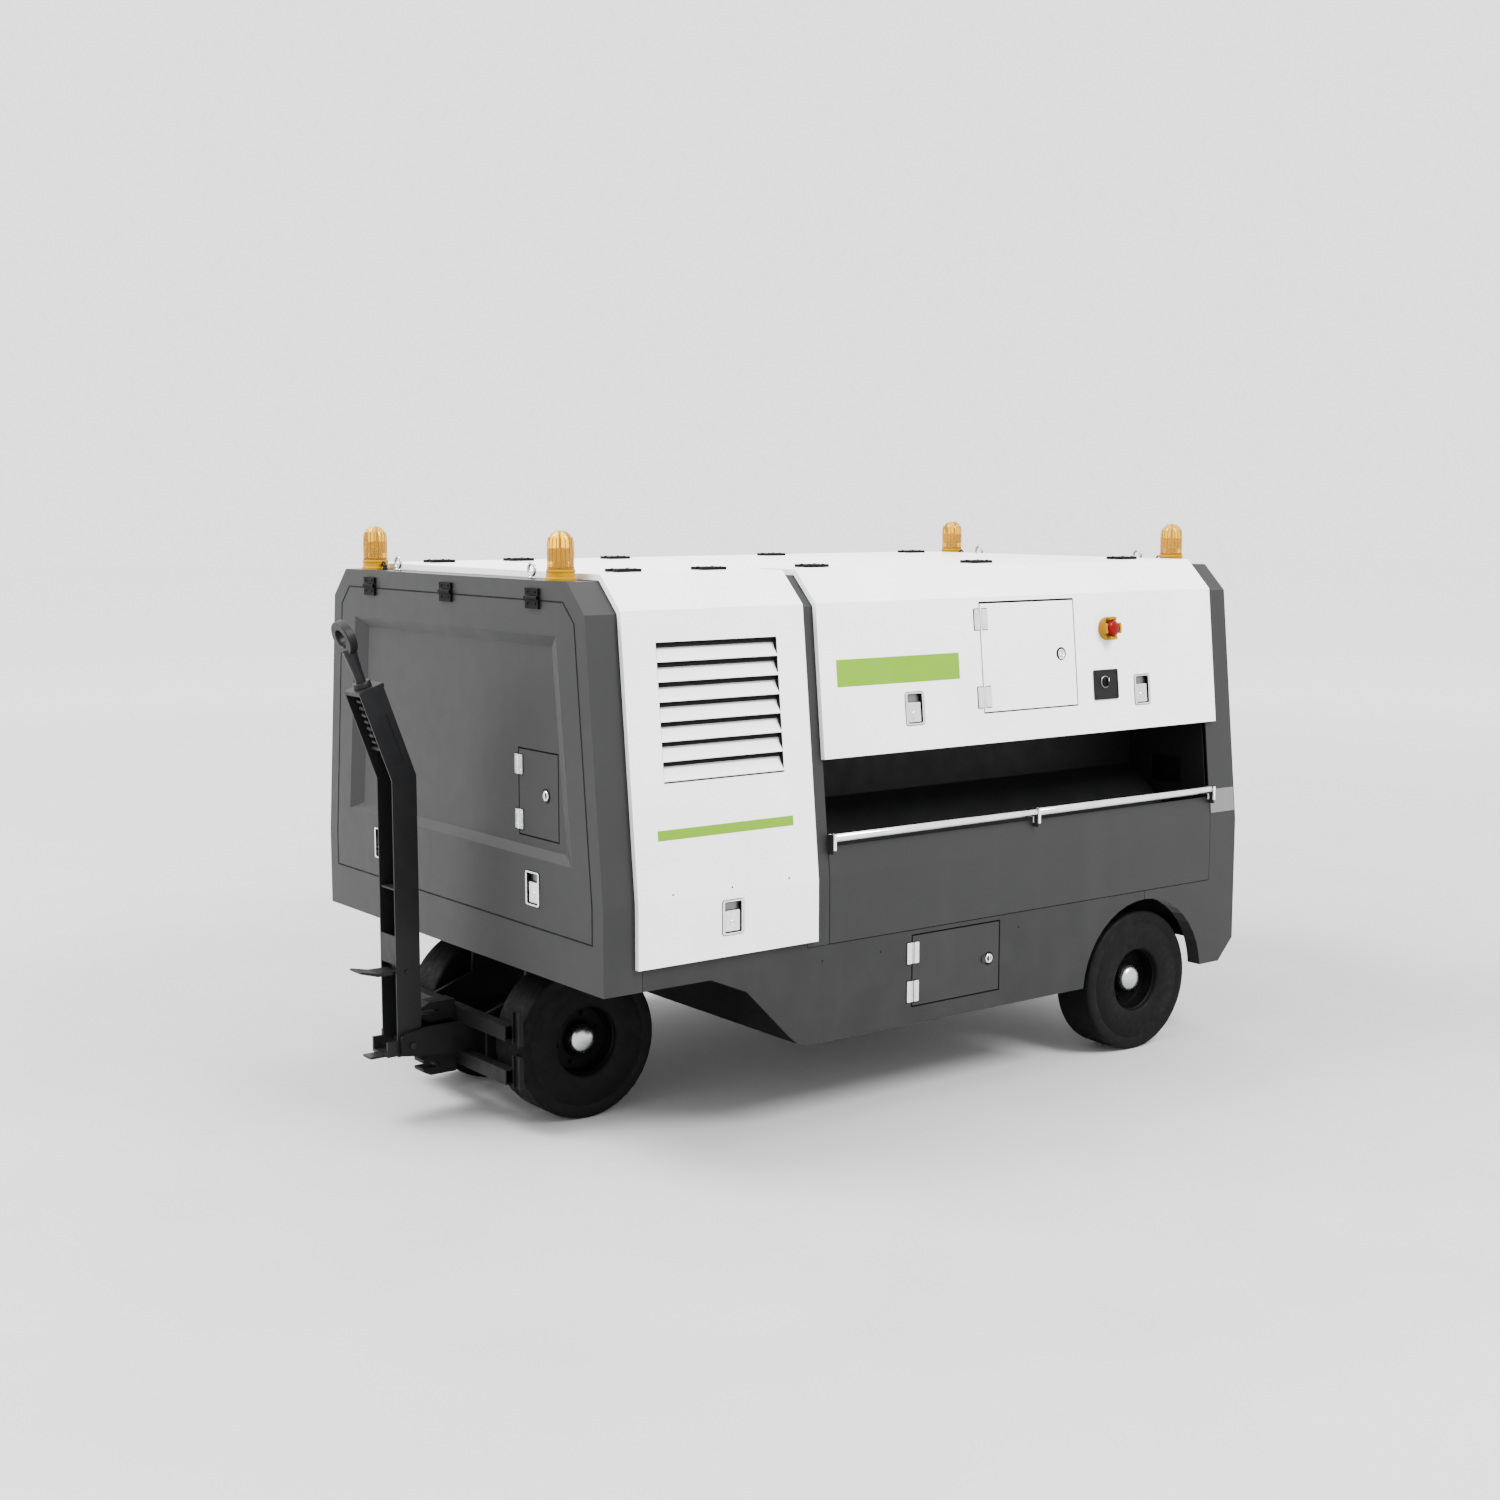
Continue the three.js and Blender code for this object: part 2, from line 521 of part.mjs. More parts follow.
// U-channel open to the front: two side plates, a rear web, a head plate and stiffeners.
function towbar() {
  const { halfWidth, depth, plate, x, kinkZ, armLength } = TOWBAR;
  const front = x - depth / 2;
  const back = x + depth / 2;
  const { footZ } = TOWBAR;
  const backLine = [[back, footZ], [back, kinkZ + 8], armPoint(armLength, depth / 2)];
  const sideOutline = [[front, footZ], ...backLine, armPoint(armLength, -depth / 2), [front, kinkZ - 8]];
  const sides = [-1, 1].map((hand) =>
    prismY(sideOutline, onHand(hand, [halfWidth - plate, halfWidth])));
  const web = prismY([...backLine, ...offset(backLine, -plate).reverse()], [-halfWidth + 1, halfWidth - 1]);
  const head = prismY([
    armPoint(armLength - 10, -depth / 2), armPoint(armLength - 10, depth / 2 + 4),
    armPoint(armLength + 4, depth / 2 + 4), armPoint(armLength + 4, -depth / 2),
  ], [-halfWidth, halfWidth]);
  const stiffeners = [838, 640].map((z) =>
    box([front + 4, back - 1], [-halfWidth + 1, halfWidth - 1], [z, z + plate]));
  const guide = prismY([
    armPoint(armLength - 226, -30), armPoint(armLength - 226, depth / 2 - 2),
    armPoint(armLength - 214, depth / 2 - 2), armPoint(armLength - 214, -30),
  ], [-halfWidth + 1, halfWidth - 1]);
  const cover = box([front, front + plate], [-halfWidth + 1, halfWidth - 1], [572, 675]);
  const ears = [-1, 1].map((hand) =>
    box([front - 40, front + 12], onHand(hand, [halfWidth - 10, halfWidth]), [footZ + 8, footZ + 58]));
  const sill = box([front - 40, front + 4], [-halfWidth, halfWidth], [footZ + 4, footZ + 14]);
  const tongue = box([front - 92, front - 30], [-30, 30], [footZ, footZ + 8]);
  const whole = join(...sides, web, head, ...stiffeners, guide, cover, ...ears, sill, tongue);
  const pinHole = bar([x, -100, TOWBAR.z], [x, 100, TOWBAR.z], PIN.radius + PIN.clearance, 16);
  const pedalRadius = PEDAL_PIN.radius + PIN.clearance;
  const pedalHole = bar([PEDAL_PIN.x, -100, PEDAL_PIN.z], [PEDAL_PIN.x, 100, PEDAL_PIN.z], pedalRadius, 12);
  const stemHole = bar(axisPoint(armLength - 240), axisPoint(armLength + 20), TOW_EYE.stem + 1.5, 20);
  const slot = prismY([
    armPoint(60, -14), armPoint(60, 22), armPoint(240, 22), armPoint(240, -14),
  ], [-halfWidth - 1, -halfWidth + 3]);
  return cut(whole, pinHole, pedalHole, stemHole, slot);
}

function axisPoint(along) {
  const [x, z] = armPoint(along, 0);
  return [x, 0, z];
}

// Ring, neck and buffer rod; the ring's hole runs across the towbar's arm.
function towEye() {
  const { reach, outer, hole, thickness, stem } = TOW_EYE;
  const centre = TOWBAR.armLength + reach;
  const [cx, cz] = armPoint(centre, 0);
  const [bx, bz] = [armNormal[0] * thickness / 2, armNormal[1] * thickness / 2];
  const ring = bar([cx - bx, 0, cz - bz], [cx + bx, 0, cz + bz], outer, 32);
  const bore = bar([cx - 2 * bx, 0, cz - 2 * bz], [cx + 2 * bx, 0, cz + 2 * bz], hole, 24);
  const neck = bar(axisPoint(TOWBAR.armLength + 22), axisPoint(centre - outer + 14), 24, 20, 17);
  const collar = bar(axisPoint(TOWBAR.armLength + 4 + GAP), axisPoint(TOWBAR.armLength + 24), 32, 20);
  const rod = bar(axisPoint(TOWBAR.armLength - 250), axisPoint(TOWBAR.armLength + 10), stem, 20);
  const nut = bar(axisPoint(TOWBAR.armLength - 262), axisPoint(TOWBAR.armLength - 242), 26, 6);
  return cut(join(ring, neck, collar, rod, nut), bore);
}

// Coil spring around the buffer rod, between the guide plate and the head plate.
function bufferSpring() {
  const { wire, coil, turns, length } = SPRING;
  class Helix extends THREE.Curve {
    getPoint(t, target = new THREE.Vector3()) {
      const angle = t * turns * 2 * Math.PI;
      return target.set(coil * Math.cos(angle), t * length, coil * Math.sin(angle));
    }
  }
  const section = new THREE.Shape();
  const sides = 5;
  for (let i = 0; i < sides; i += 1) {
    const angle = (i / sides) * 2 * Math.PI;
    const point = [wire * Math.cos(angle), wire * Math.sin(angle)];
    if (i === 0) {
      section.moveTo(...point);
    } else {
      section.lineTo(...point);
    }
  }
  return new THREE.ExtrudeGeometry(section, { extrudePath: new Helix(), steps: turns * 9 });
}

function releasePedal() {
  const front = TOWBAR.x - TOWBAR.depth / 2;
  const tread = prismY([
    [front - 132, 556], [front - 126, 562], [front - 60, 548], [front + 30, 548], [front + 30, 536],
    [front - 62, 536],
  ], [-42, 42]);
  const { x, z, radius } = PEDAL_PIN;
  const boss = bar([x, -50, z], [x, 50, z], 2 * radius, 16);
  const shaft = bar([x, -TOWBAR.halfWidth - 5, z], [x, TOWBAR.halfWidth + 5, z], radius, 12);
  const catchPlate = box([x - 20, x], [-14, 14], [z - 5, z + 30]);
  return join(tread, boss, shaft, catchPlate);
}

// ---------------------------------------------------------------- doors and hatches
// Pan-shaped gull-wing door on the left-hand side: skin with a returned lip, open inwards.
function doorPan(footZ, [x0, x1]) {
  const line = sideLine(footZ, HINGE_Y + 1);
  const pan = prismX(band(line, DOOR_PROUD, DOOR_SEAL), [x0, x1]);
  const first = [line[0][0] - slope * DOOR_LIP * (footZ < BELT_Z ? 0 : 1), footZ + DOOR_LIP];
  const last = [line[line.length - 1][0] + DOOR_LIP, ROOF_Z];
  const pocketLine = [first, ...line.slice(1, -1), last];
  const pocketBand = band(pocketLine, DOOR_PROUD - DOOR_SKIN, DOOR_SEAL - 1);
  return cut(pan, prismX(pocketBand, [x0 + DOOR_LIP, x1 - DOOR_LIP]));
}

// Rectangular hole through the skin of the left-hand side, square to the sloped face.
function skinHole([x0, x1], [z0, z1]) {
  const outline = [
    [halfWidthAt(z0) + DOOR_PROUD + 6, z0],
    [halfWidthAt(z1) + DOOR_PROUD + 6, z1],
    [halfWidthAt(z1) + DOOR_SEAL - 3, z1],
    [halfWidthAt(z0) + DOOR_SEAL - 3, z0],
  ];
  return prismX(outline, [x0, x1]);
}

function louvreBlades() {
  const { x, z, blades, thickness } = LOUVRE;
  const pitch = (z[1] - z[0]) / blades;
  const list = [];
  for (let i = 0; i < blades; i += 1) {
    const foot = z[0] + i * pitch;
    const head = foot + pitch * 0.84;
    const outerY = halfWidthAt(foot) + DOOR_PROUD;
    const innerY = halfWidthAt(head) - LOUVRE.depth;
    const outline = [
      [outerY, foot], [outerY + 1, foot + thickness], [innerY + thickness, head], [innerY, head],
    ];
    list.push(prismX(outline, [x[0] - 1, x[1] + 1]));
  }
  return list;
}

const PADDLE = {
  width: 60, height: 72, thickness: 5, holeWidth: 72, holeHeight: 108, keyRadius: 12, keyReach: 10,
};
const STOP = { base: 46, shroud: 34, height: 42, floor: 14, well: 21, wellFloor: 8, notch: 24, travel: 6 };
const PADDLE_SPOTS = {
  front_door: [503, 813],
  main_door_front: [1358, 1458],
  main_door_rear: [2554, 1460],
};

function paddleHole([x, z]) {
  const { holeWidth, holeHeight } = PADDLE;
  return skinHole([x - holeWidth / 2, x + holeWidth / 2], [z - holeHeight / 2, z + holeHeight / 2]);
}

function frontSideDoor() {
  const opened = cut(doorPan(DOOR_FOOT_Z, FRONT_DOOR_X), skinHole(LOUVRE.x, LOUVRE.z));
  return cut(join(opened, ...louvreBlades()), paddleHole(PADDLE_SPOTS.front_door));
}

function mainSideDoor(footZ) {
  return cut(
    doorPan(footZ, MAIN_DOOR_X),
    paddleHole(PADDLE_SPOTS.main_door_front),
    paddleHole(PADDLE_SPOTS.main_door_rear),
  );
}

// Near-side main door: short, above the tray, with cut-outs for the control hatch.
function trayDoor() {
  const hatchHole = skinHole(widened(CONTROL_HATCH.x, HATCH_GAP), widened(CONTROL_HATCH.z, HATCH_GAP));
  return cut(mainSideDoor(TRAY_DOOR_FOOT_Z), hatchHole);
}

function noseRecess(grow) {
  const outer = [[820, 1004], [733, 1758], [-733, 1758], [-820, 1004]];
  const inner = [[745, 1034], [667, 1720], [-667, 1720], [-745, 1034]];
  return [offset(outer, grow, true), offset(inner, grow, true)];
}

function noseDoor() {
  const outline = openingOutline(NOSE.gap);
  const panel = prismX(outline, [0, NOSE.depth]);
  const [outer, inner] = noseRecess(0);
  const [outerBack, innerBack] = noseRecess(DOOR_SKIN);
  const pressing = taperX(outer, inner, [-0.01, NOSE.recess]);
  const pocket = prismX(offset(outline, -DOOR_LIP, true), [DOOR_SKIN, NOSE.depth + 1]);
  const shell = cut(pocket, taperX(outerBack, innerBack, [DOOR_SKIN - 1, NOSE.recess + DOOR_SKIN]));
  const hatchHole = box(
    [NOSE.recess - 20, NOSE.depth + 1],
    widened(NOSE_HATCH.y, HATCH_GAP),
    widened(NOSE_HATCH.z, HATCH_GAP),
  );
  const { holeWidth, holeHeight } = PADDLE;
  const holeZ = widened([NOSE_PADDLE_Z, NOSE_PADDLE_Z], holeHeight / 2);
  const holes = NOSE_PADDLE_Y.map((y) => box([-1, DOOR_SKIN + 1], widened([y, y], holeWidth / 2), holeZ));
  return cut(panel, pressing, shell, hatchHole, ...holes);
}

// Flat hatch leaf in its own frame: x along its width, z up, outer face at y = 0.
function hatchLeaf(width, height) {
  const leaf = box([0, width], [0, HATCH_SHEET], [0, height]);
  const lockX = width - 75;
  const lockZ = height * 0.48;
  const lock = bar([lockX, -4, lockZ], [lockX, HATCH_SHEET + 14, lockZ], 15, 20);
  return join(leaf, lock);
}

// Paddle in its own frame: pivot line along X through the origin, outer face towards -Y.
function paddle() {
  const { width, height, thickness, keyReach, keyRadius } = PADDLE;
  const outline = [[-2, 4], [3, 2], [3, height - 3], [1 - thickness, height], [1 - thickness, height - 4]];
  const plate = prismX(outline, [-width / 2, width / 2]);
  const barrel = bar([-width / 2 + 3, 1, 6], [width / 2 - 3, 1, 6], 4, 12);
  const keyHeight = height * 0.36;
  const keyCylinder = bar([0, -keyReach, keyHeight], [0, 2, keyHeight], keyRadius, 16);
  return join(plate, barrel, keyCylinder);
}

// ---------------------------------------------------------------- cable tray
function cableTray() {
  const { x, wall, lipY, lipZ, troughZ, floorY, backY, bendZ, topZ, coverY } = TRAY;
  const line = [
    [coverY, topZ], [backY, topZ], [backY, bendZ], [floorY, troughZ], [lipY, troughZ], [lipY, lipZ],
  ];
  const trough = prismX([...line, ...offset(line, -wall).reverse()], x);
  const endOutline = offset(line, -wall / 2);
  const ends = [[x[0], x[0] + wall], [x[1] - wall, x[1]]].map((xRange) => prismX(endOutline, xRange));
  const cablePort = box([x[1] - 10, x[1] + 1], [-845, -685], [1040, 1150]);
  return cut(join(trough, ...ends), cablePort);
}

function trayPanel() {
  const [low, high] = TRAY_PANEL.z;
  const line = [[-halfWidthAt(high), high], [-BELT_HALF, BELT_Z], [-BELT_HALF, low]];
  const sheet = prismX(band(line, 0, -SHEET), TRAY_PANEL.x);
  const middle = (ROLLER.x[0] + ROLLER.x[1]) / 2;
  const ears = [ROLLER.x[0] - 6, middle, ROLLER.x[1] + 6].map((x) =>
    box([x - 4, x + 4], [ROLLER.y - 14, -halfWidthAt(high) + 3], [high - 24, ROLLER.z + 12]));
  return cut(join(sheet, ...ears), rollerBar(-1, 1));
}

// Pair of rollers on one shaft, split by the middle bracket; growth widens it into a clearance.
function rollerBar(inset, growth = 0) {
  const { x, y, z, radius, neck, bracket, clearance } = ROLLER;
  const middle = (x[0] + x[1]) / 2;
  const halfGap = bracket / 2 + clearance - growth;
  return join(
    bar([x[0] + inset, y, z], [middle - halfGap, y, z], radius + growth, 20),
    bar([middle + halfGap, y, z], [x[1] - inset, y, z], radius + growth, 20),
    bar([middle - halfGap - 1, y, z], [middle + halfGap + 1, y, z], neck + growth, 20),
  );
}

// ---------------------------------------------------------------- controls, lamps, lifting eyes
function beacon() {
  return lathed([
    [0, 0], [52, 0], [52, 28], [46, 30], [45, 116], [37, 144], [20, 160], [0, 165],
  ], 16);
}

function liftingEye() {
  const ring = new THREE.TorusGeometry(21, 6, 6, 14);
  ring.rotateY(Math.PI / 2);
  ring.translate(0, 0, 30);
  const foot = bar([0, 0, 0], [0, 0, 10], 14, 12, 9);
  return join(solid(ring), foot);
}

function eStopBase() {
  const { base, shroud, height, floor, well, wellFloor, notch } = STOP;
  const cup = solid(lathed([
    [0, 0], [base, 0], [base, height - 6], [base - 4, height], [shroud, height], [shroud, floor],
    [well, floor], [well, wellFloor], [0, wellFloor],
  ], 28));
  const notches = [45, 135].map((degrees) => {
    const tool = new THREE.BoxGeometry(3 * base, notch, height);
    return solid(tool.rotateY(THREE.MathUtils.degToRad(degrees)).translate(0, floor + 8 + height / 2, 0));
  });
  return cut(cup, ...notches);
}

function eStopButton() {
  const { shroud, floor, well, wellFloor, travel } = STOP;
  const stem = well - 4;
  const foot = wellFloor + travel + 2;
  const cap = floor + travel + 4;
  return lathed([
    [0, foot], [stem, foot], [stem, cap], [shroud - 6, cap + 3], [shroud - 4, cap + 12],
    [shroud - 10, cap + 20], [0, cap + 23],
  ], 24);
}

function selectorKnob() {
  return join(bar([0, 0, 0], [0, 0, 14], 20, 20), box([-5, 5], [-22, 22], [13, 26]));
}

// Control box behind the hatch, open towards the hatch, with a sloping panel inside.
function controlUnit() {
  const width = CONTROL_HATCH.x[1] - CONTROL_HATCH.x[0] - 30;
  const height = CONTROL_HATCH.z[1] - CONTROL_HATCH.z[0] - 30;
  const depth = 130;
  const shell = cut(
    box([0, width], [0, depth], [0, height]),
    box([5, width - 5], [-1, depth - 60], [5, height - 5]),
  );
  const display = box([60, 270], [depth - 74, depth - 59], [190, 330]);
  const keys = [0, 1, 2, 3].map((i) =>
    bar([80 + 55 * i, depth - 72, 110], [80 + 55 * i, depth - 59, 110], 13, 16));
  const breaker = box([320, 400], [depth - 100, depth - 59], [120, 300]);
  return join(shell, display, ...keys, breaker);
}

// ---------------------------------------------------------------- power equipment
function batteryPack([x0, x1], [y0, y1], [z0, z1], modules) {
  const pitch = (x1 - x0) / modules;
  let pack = box([x0, x1], [y0, y1], [z0, z1 - 16]);
  for (let i = 0; i < modules; i += 1) {
    const start = x0 + i * pitch + 14;
    pack = pack.add(box([start, start + pitch - 28], [y0 + 30, y1 - 30], [z1 - 17, z1]));
  }
  return pack;
}

function powerConverter() {
  const cabinet = box([200, 790], [-640, 700], [DECK_Z[1] + GAP, 1560]);
  const fins = [];
  for (let i = 0; i < 9; i += 1) {
    fins.push(box([240 + 60 * i, 246 + 60 * i], [-700, -639], [900, 1500]));
  }
  return join(cabinet, ...fins);
}

const FAN = { x: 501, y: [-868, -790], z: 1512, radius: 176 };

function fanHousing() {
  const { x, y, z, radius } = FAN;
  const half = 205;
  const plate = box([x - half, x + half], y, [z - half, z + half]);
  const duct = bar([x, y[0] - 1, z], [x, y[1] + 1, z], radius, 36);
  const foot = box([x - half, x + half], [y[0] + 30, y[1] - 30], [DECK_Z[1] + GAP, z - half + 1]);
  const spokes = [box([x - radius - 2, x + radius + 2], [y[1] - 8, y[1]], [z - 9, z + 9]),
    box([x - 9, x + 9], [y[1] - 8, y[1]], [z - radius - 2, z + radius + 2])];
  return join(cut(plate, duct), foot, ...spokes);
}

function fanRotor() {
  const hub = new THREE.CylinderGeometry(46, 46, 44, 24);
  let rotor = solid(hub);
  const blades = 7;
  for (let i = 0; i < blades; i += 1) {
    const blade = new THREE.BoxGeometry(128, 4, 62);
    blade.rotateX(THREE.MathUtils.degToRad(28));
    blade.translate(104, 0, 0);
    blade.rotateY((i / blades) * 2 * Math.PI);
    rotor = rotor.add(solid(blade));
  }
  return rotor;
}

// ---------------------------------------------------------------- assembly
const trolley = new THREE.Group();
const parts = new THREE.Group();
trolley.add(parts);

function add(name, shape, material, parent = parts) {
  const geometry = shape instanceof THREE.BufferGeometry ? shape : geometryOf(shape);
  const mesh = new THREE.Mesh(geometry, material());
  mesh.name = name;
  parent.add(mesh);
  return mesh;
}

// Group on a sloped side face at (x, z): local X along the trolley, local -Y out of the face.
function sideStation(x, z, side) {
  const station = new THREE.Group();
  const tilt = z > BELT_Z ? TILT : 0;
  station.rotation.set(-tilt, 0, 0);
  station.position.set(side < 0 ? x : -x, -halfWidthAt(z) - DOOR_PROUD, z);
  const turn = new THREE.Group();
  turn.rotation.z = side < 0 ? 0 : Math.PI;
  turn.add(station);
  parts.add(turn);
  return station;
}

function addBody() {
  add('front_frame', frontFrame(), finish.frameGrey);
  add('mid_frame', midFrame(), finish.frameGrey);
  add('rear_frame', rearFrame(), finish.frameGrey);
  add('rear_panel', rearPanel(), finish.frameGrey);
  add('roof_panel', roofPanel(), finish.doorWhite);
  add('chassis_frame', chassis(), finish.chassisBlack);
  const farSkirt = geometryOf(skirt());
  add('skirt_far', farSkirt, finish.frameGrey);
  const nearSkirt = cut(solid(mirrored(farSkirt)), lowerHatchHole(HATCH_GAP));
  add('skirt_near', nearSkirt, finish.frameGrey);
}

function addDoors() {
  const frontDoor = geometryOf(frontSideDoor());
  add('far_front_door', frontDoor, finish.doorWhite);
  add('near_front_door', mirrored(frontDoor), finish.doorWhite);
  add('far_main_door', mainSideDoor(DOOR_FOOT_Z), finish.doorWhite);
  add('near_main_door', mirrored(geometryOf(trayDoor())), finish.doorWhite);
  add('nose_door', noseDoor(), finish.frameGrey);
}

function addHatches() {
  const size = ([low, high]) => high - low;
  const control = sideStation(CONTROL_HATCH.x[0], CONTROL_HATCH.z[0], -1);
  const controlLeaf = hatchLeaf(size(CONTROL_HATCH.x), size(CONTROL_HATCH.z) / Math.cos(TILT) - 2);
  add('control_hatch', controlLeaf, finish.doorWhite, control);
  const unit = add('control_unit', controlUnit(), finish.cabinet, control);
  unit.position.set(15, DOOR_PROUD, 15);
  const lower = add('lower_hatch', hatchLeaf(size(LOWER_HATCH.x), size(LOWER_HATCH.z)), finish.frameGrey);
  lower.position.set(LOWER_HATCH.x[0], -BELT_HALF, LOWER_HATCH.z[0]);
  const nose = add('nose_hatch', hatchLeaf(size(NOSE_HATCH.y), size(NOSE_HATCH.z)), finish.frameGrey);
  nose.rotation.z = -Math.PI / 2;
  nose.position.set(NOSE.recess, NOSE_HATCH.y[1], NOSE_HATCH.z[0]);
}

function addPaddles() {
  const low = PADDLE.holeHeight / 2 - 6;
  [['near', -1], ['far', 1]].forEach(([label, side]) => {
    Object.entries(PADDLE_SPOTS).forEach(([spot, [x, z]]) => {
      const station = sideStation(x, z, side);
      add(`latch_${label}_${spot}`, paddle(), finish.steel, station).position.set(0, 6, -low);
    });
  });
  NOSE_PADDLE_Y.forEach((y) => {
    const mesh = add(`latch_nose_${y < 0 ? 'near' : 'far'}`, paddle(), finish.steel);
    mesh.rotation.z = -Math.PI / 2;
    mesh.position.set(6, y, NOSE_PADDLE_Z - low);
  });
}

function addTray() {
  add('cable_tray', cableTray(), finish.trayBlack);
  add('tray_panel', trayPanel(), finish.frameGrey);
  add('roller_bar', rollerBar(ROLLER.clearance), finish.steel);
}

function addControls() {
  const outwards = (station, mesh, height) => {
    mesh.rotation.x = Math.PI / 2;
    mesh.position.y = -height;
    station.add(mesh);
  };
  const stop = sideStation(2368, 1705, -1);
  const base = add('e_stop_base', eStopBase(), finish.yellow, stop);
  base.rotation.x = Math.PI;
  base.position.y = -GAP;
  const button = add('e_stop_button', eStopButton(), finish.red, stop);
  button.rotation.x = Math.PI;
  button.position.y = -GAP;
  const selector = sideStation(2343, 1500, -1);
  outwards(selector, add('selector_knob', selectorKnob(), finish.knobBlack, selector), 5);
}

function addWheels() {
  const spots = [
    ['front_near', FRONT_AXLE.x, -FRONT_AXLE.y], ['front_far', FRONT_AXLE.x, FRONT_AXLE.y],
    ['rear_near', REAR_AXLE.x, -REAR_AXLE.y], ['rear_far', REAR_AXLE.x, REAR_AXLE.y],
  ];
  spots.forEach(([label, x, y]) => {
    const wheel = new THREE.Group();
    wheel.position.set(x, y, TYRE.radius);
    wheel.rotation.z = y < 0 ? Math.PI : 0;
    parts.add(wheel);
    add(`tyre_${label}`, tyre(), finish.rubber, wheel);
    add(`rim_${label}`, rim(), finish.chassisBlack, wheel);
  });
}

function addRunningGear() {
  add('rear_axle', rearAxle(), finish.chassisBlack);
  add('slew_ring', slewRing(), finish.chassisBlack);
  add('bogie_frame', bogieFrame(), finish.chassisBlack);
  add('towbar_pin', pivotPin(), finish.towbarBlack);
  add('towbar', towbar(), finish.towbarBlack);
  add('tow_eye', towEye(), finish.towbarBlack);
  const spring = add('buffer_spring', bufferSpring(), finish.towbarBlack);
  spring.rotation.set(Math.PI / 2, 0, 0);
  const holder = new THREE.Group();
  holder.rotation.y = -bend;
  const [x, , z] = axisPoint(TOWBAR.armLength - 206);
  holder.position.set(x, 0, z);
  holder.add(spring);
  parts.add(holder);
  add('release_pedal', releasePedal(), finish.towbarBlack);
}

function addTopGear() {
  const beaconX = [60, 3041];
  [['front', beaconX[0]], ['rear', beaconX[1]]].forEach(([end, x]) => {
    [['near', -1], ['far', 1]].forEach(([label, side]) => {
      const lamp = add(`beacon_${end}_${label}`, beacon(), finish.amber);
      lamp.rotation.x = Math.PI / 2;
      lamp.position.set(x, side * 672, ROOF_Z + GAP);
      const eye = add(`lifting_eye_${end}_${label}`, liftingEye(), finish.steel);
      eye.position.set(x, side * 486, ROOF_Z + GAP);
    });
  });
}

function addPowerEquipment() {
  const floor = TUB.z + TUB.wall + GAP;
  add('battery_pack_lower', batteryPack([900, 2100], [-640, 640], [floor, 632], 6), finish.battery);
  add('battery_pack_upper', batteryPack([980, 2900], [-420, 860], [DECK_Z[1] + GAP, 980], 8), finish.battery);
  add('power_converter', powerConverter(), finish.cabinet);
  add('fan_housing', fanHousing(), finish.chassisBlack);
  const rotor = add('fan_rotor', fanRotor(), finish.trayBlack);
  rotor.position.set(FAN.x, FAN.y[0] + 32, FAN.z);
}

addBody();
addDoors();
addHatches();
addPaddles();
addTray();
addControls();
addWheels();
addRunningGear();
addTopGear();
addPowerEquipment();

// Stand the trolley on its origin: ground level, centred in plan.
parts.updateMatrixWorld(true);
const bounds = new THREE.Box3().setFromObject(parts, true);
parts.position.x = -(bounds.min.x + bounds.max.x) / 2;

export default trolley;
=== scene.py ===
import json
import math
import bmesh
import bpy
from mathutils import Matrix, Vector


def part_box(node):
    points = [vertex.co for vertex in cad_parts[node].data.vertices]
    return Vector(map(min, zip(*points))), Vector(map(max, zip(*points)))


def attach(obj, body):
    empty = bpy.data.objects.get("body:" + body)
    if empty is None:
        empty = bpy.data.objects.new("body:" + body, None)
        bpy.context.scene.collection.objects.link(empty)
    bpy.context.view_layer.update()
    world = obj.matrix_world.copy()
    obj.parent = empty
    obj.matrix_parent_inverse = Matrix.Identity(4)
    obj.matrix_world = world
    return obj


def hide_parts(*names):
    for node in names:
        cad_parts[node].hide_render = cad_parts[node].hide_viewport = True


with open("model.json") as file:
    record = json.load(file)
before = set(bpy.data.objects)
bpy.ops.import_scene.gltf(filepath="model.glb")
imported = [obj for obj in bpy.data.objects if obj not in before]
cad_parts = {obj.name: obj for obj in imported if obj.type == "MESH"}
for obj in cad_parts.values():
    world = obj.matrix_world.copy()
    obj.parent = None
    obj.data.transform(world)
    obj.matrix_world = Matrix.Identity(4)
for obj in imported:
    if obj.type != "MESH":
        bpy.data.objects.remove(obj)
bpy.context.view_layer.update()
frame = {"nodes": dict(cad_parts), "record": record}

MM = 0.001

# ------------------------------------------------------------------ places on the CAD, in metres
FRONT_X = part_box("front_frame")[0].x          # front face of the body
BELT_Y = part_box("front_frame")[1].y           # half width at the belt line
ROOF_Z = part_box("roof_panel")[1].z
BELT_Z = 0.895                                # height of the belt line
TILT = math.atan2(0.094, 0.940)               # inward lean of the side faces above the belt line
PROUD = 0.022                                 # doors stand this far outside the frames
HINGE_Y = 0.651                               # side doors' hinge lines, either side of the middle
AXLE_Z = 0.282                                # height of the wheel axes
SIDES = {"near": -1, "far": 1}
# corners of the machine, each with the side that it is on
QUARTERS = {"front_near": -1, "front_far": 1, "rear_near": -1, "rear_far": 1}


def along(mm):
    """World x of a station measured in mm back from the body's front face."""
    return FRONT_X + mm * MM


def half_width(z):
    """Half the frames' width at height z."""
    if z <= BELT_Z:
        return BELT_Y
    return BELT_Y - (z - BELT_Z) * math.tan(TILT)


def place(right, up, out, origin):
    """Matrix of a local frame from its three axes and its origin."""
    m = Matrix.Identity(4)
    for col, axis in enumerate((right, up, out)):
        for row in range(3):
            m[row][col] = axis[row]
    m.translation = origin
    return m


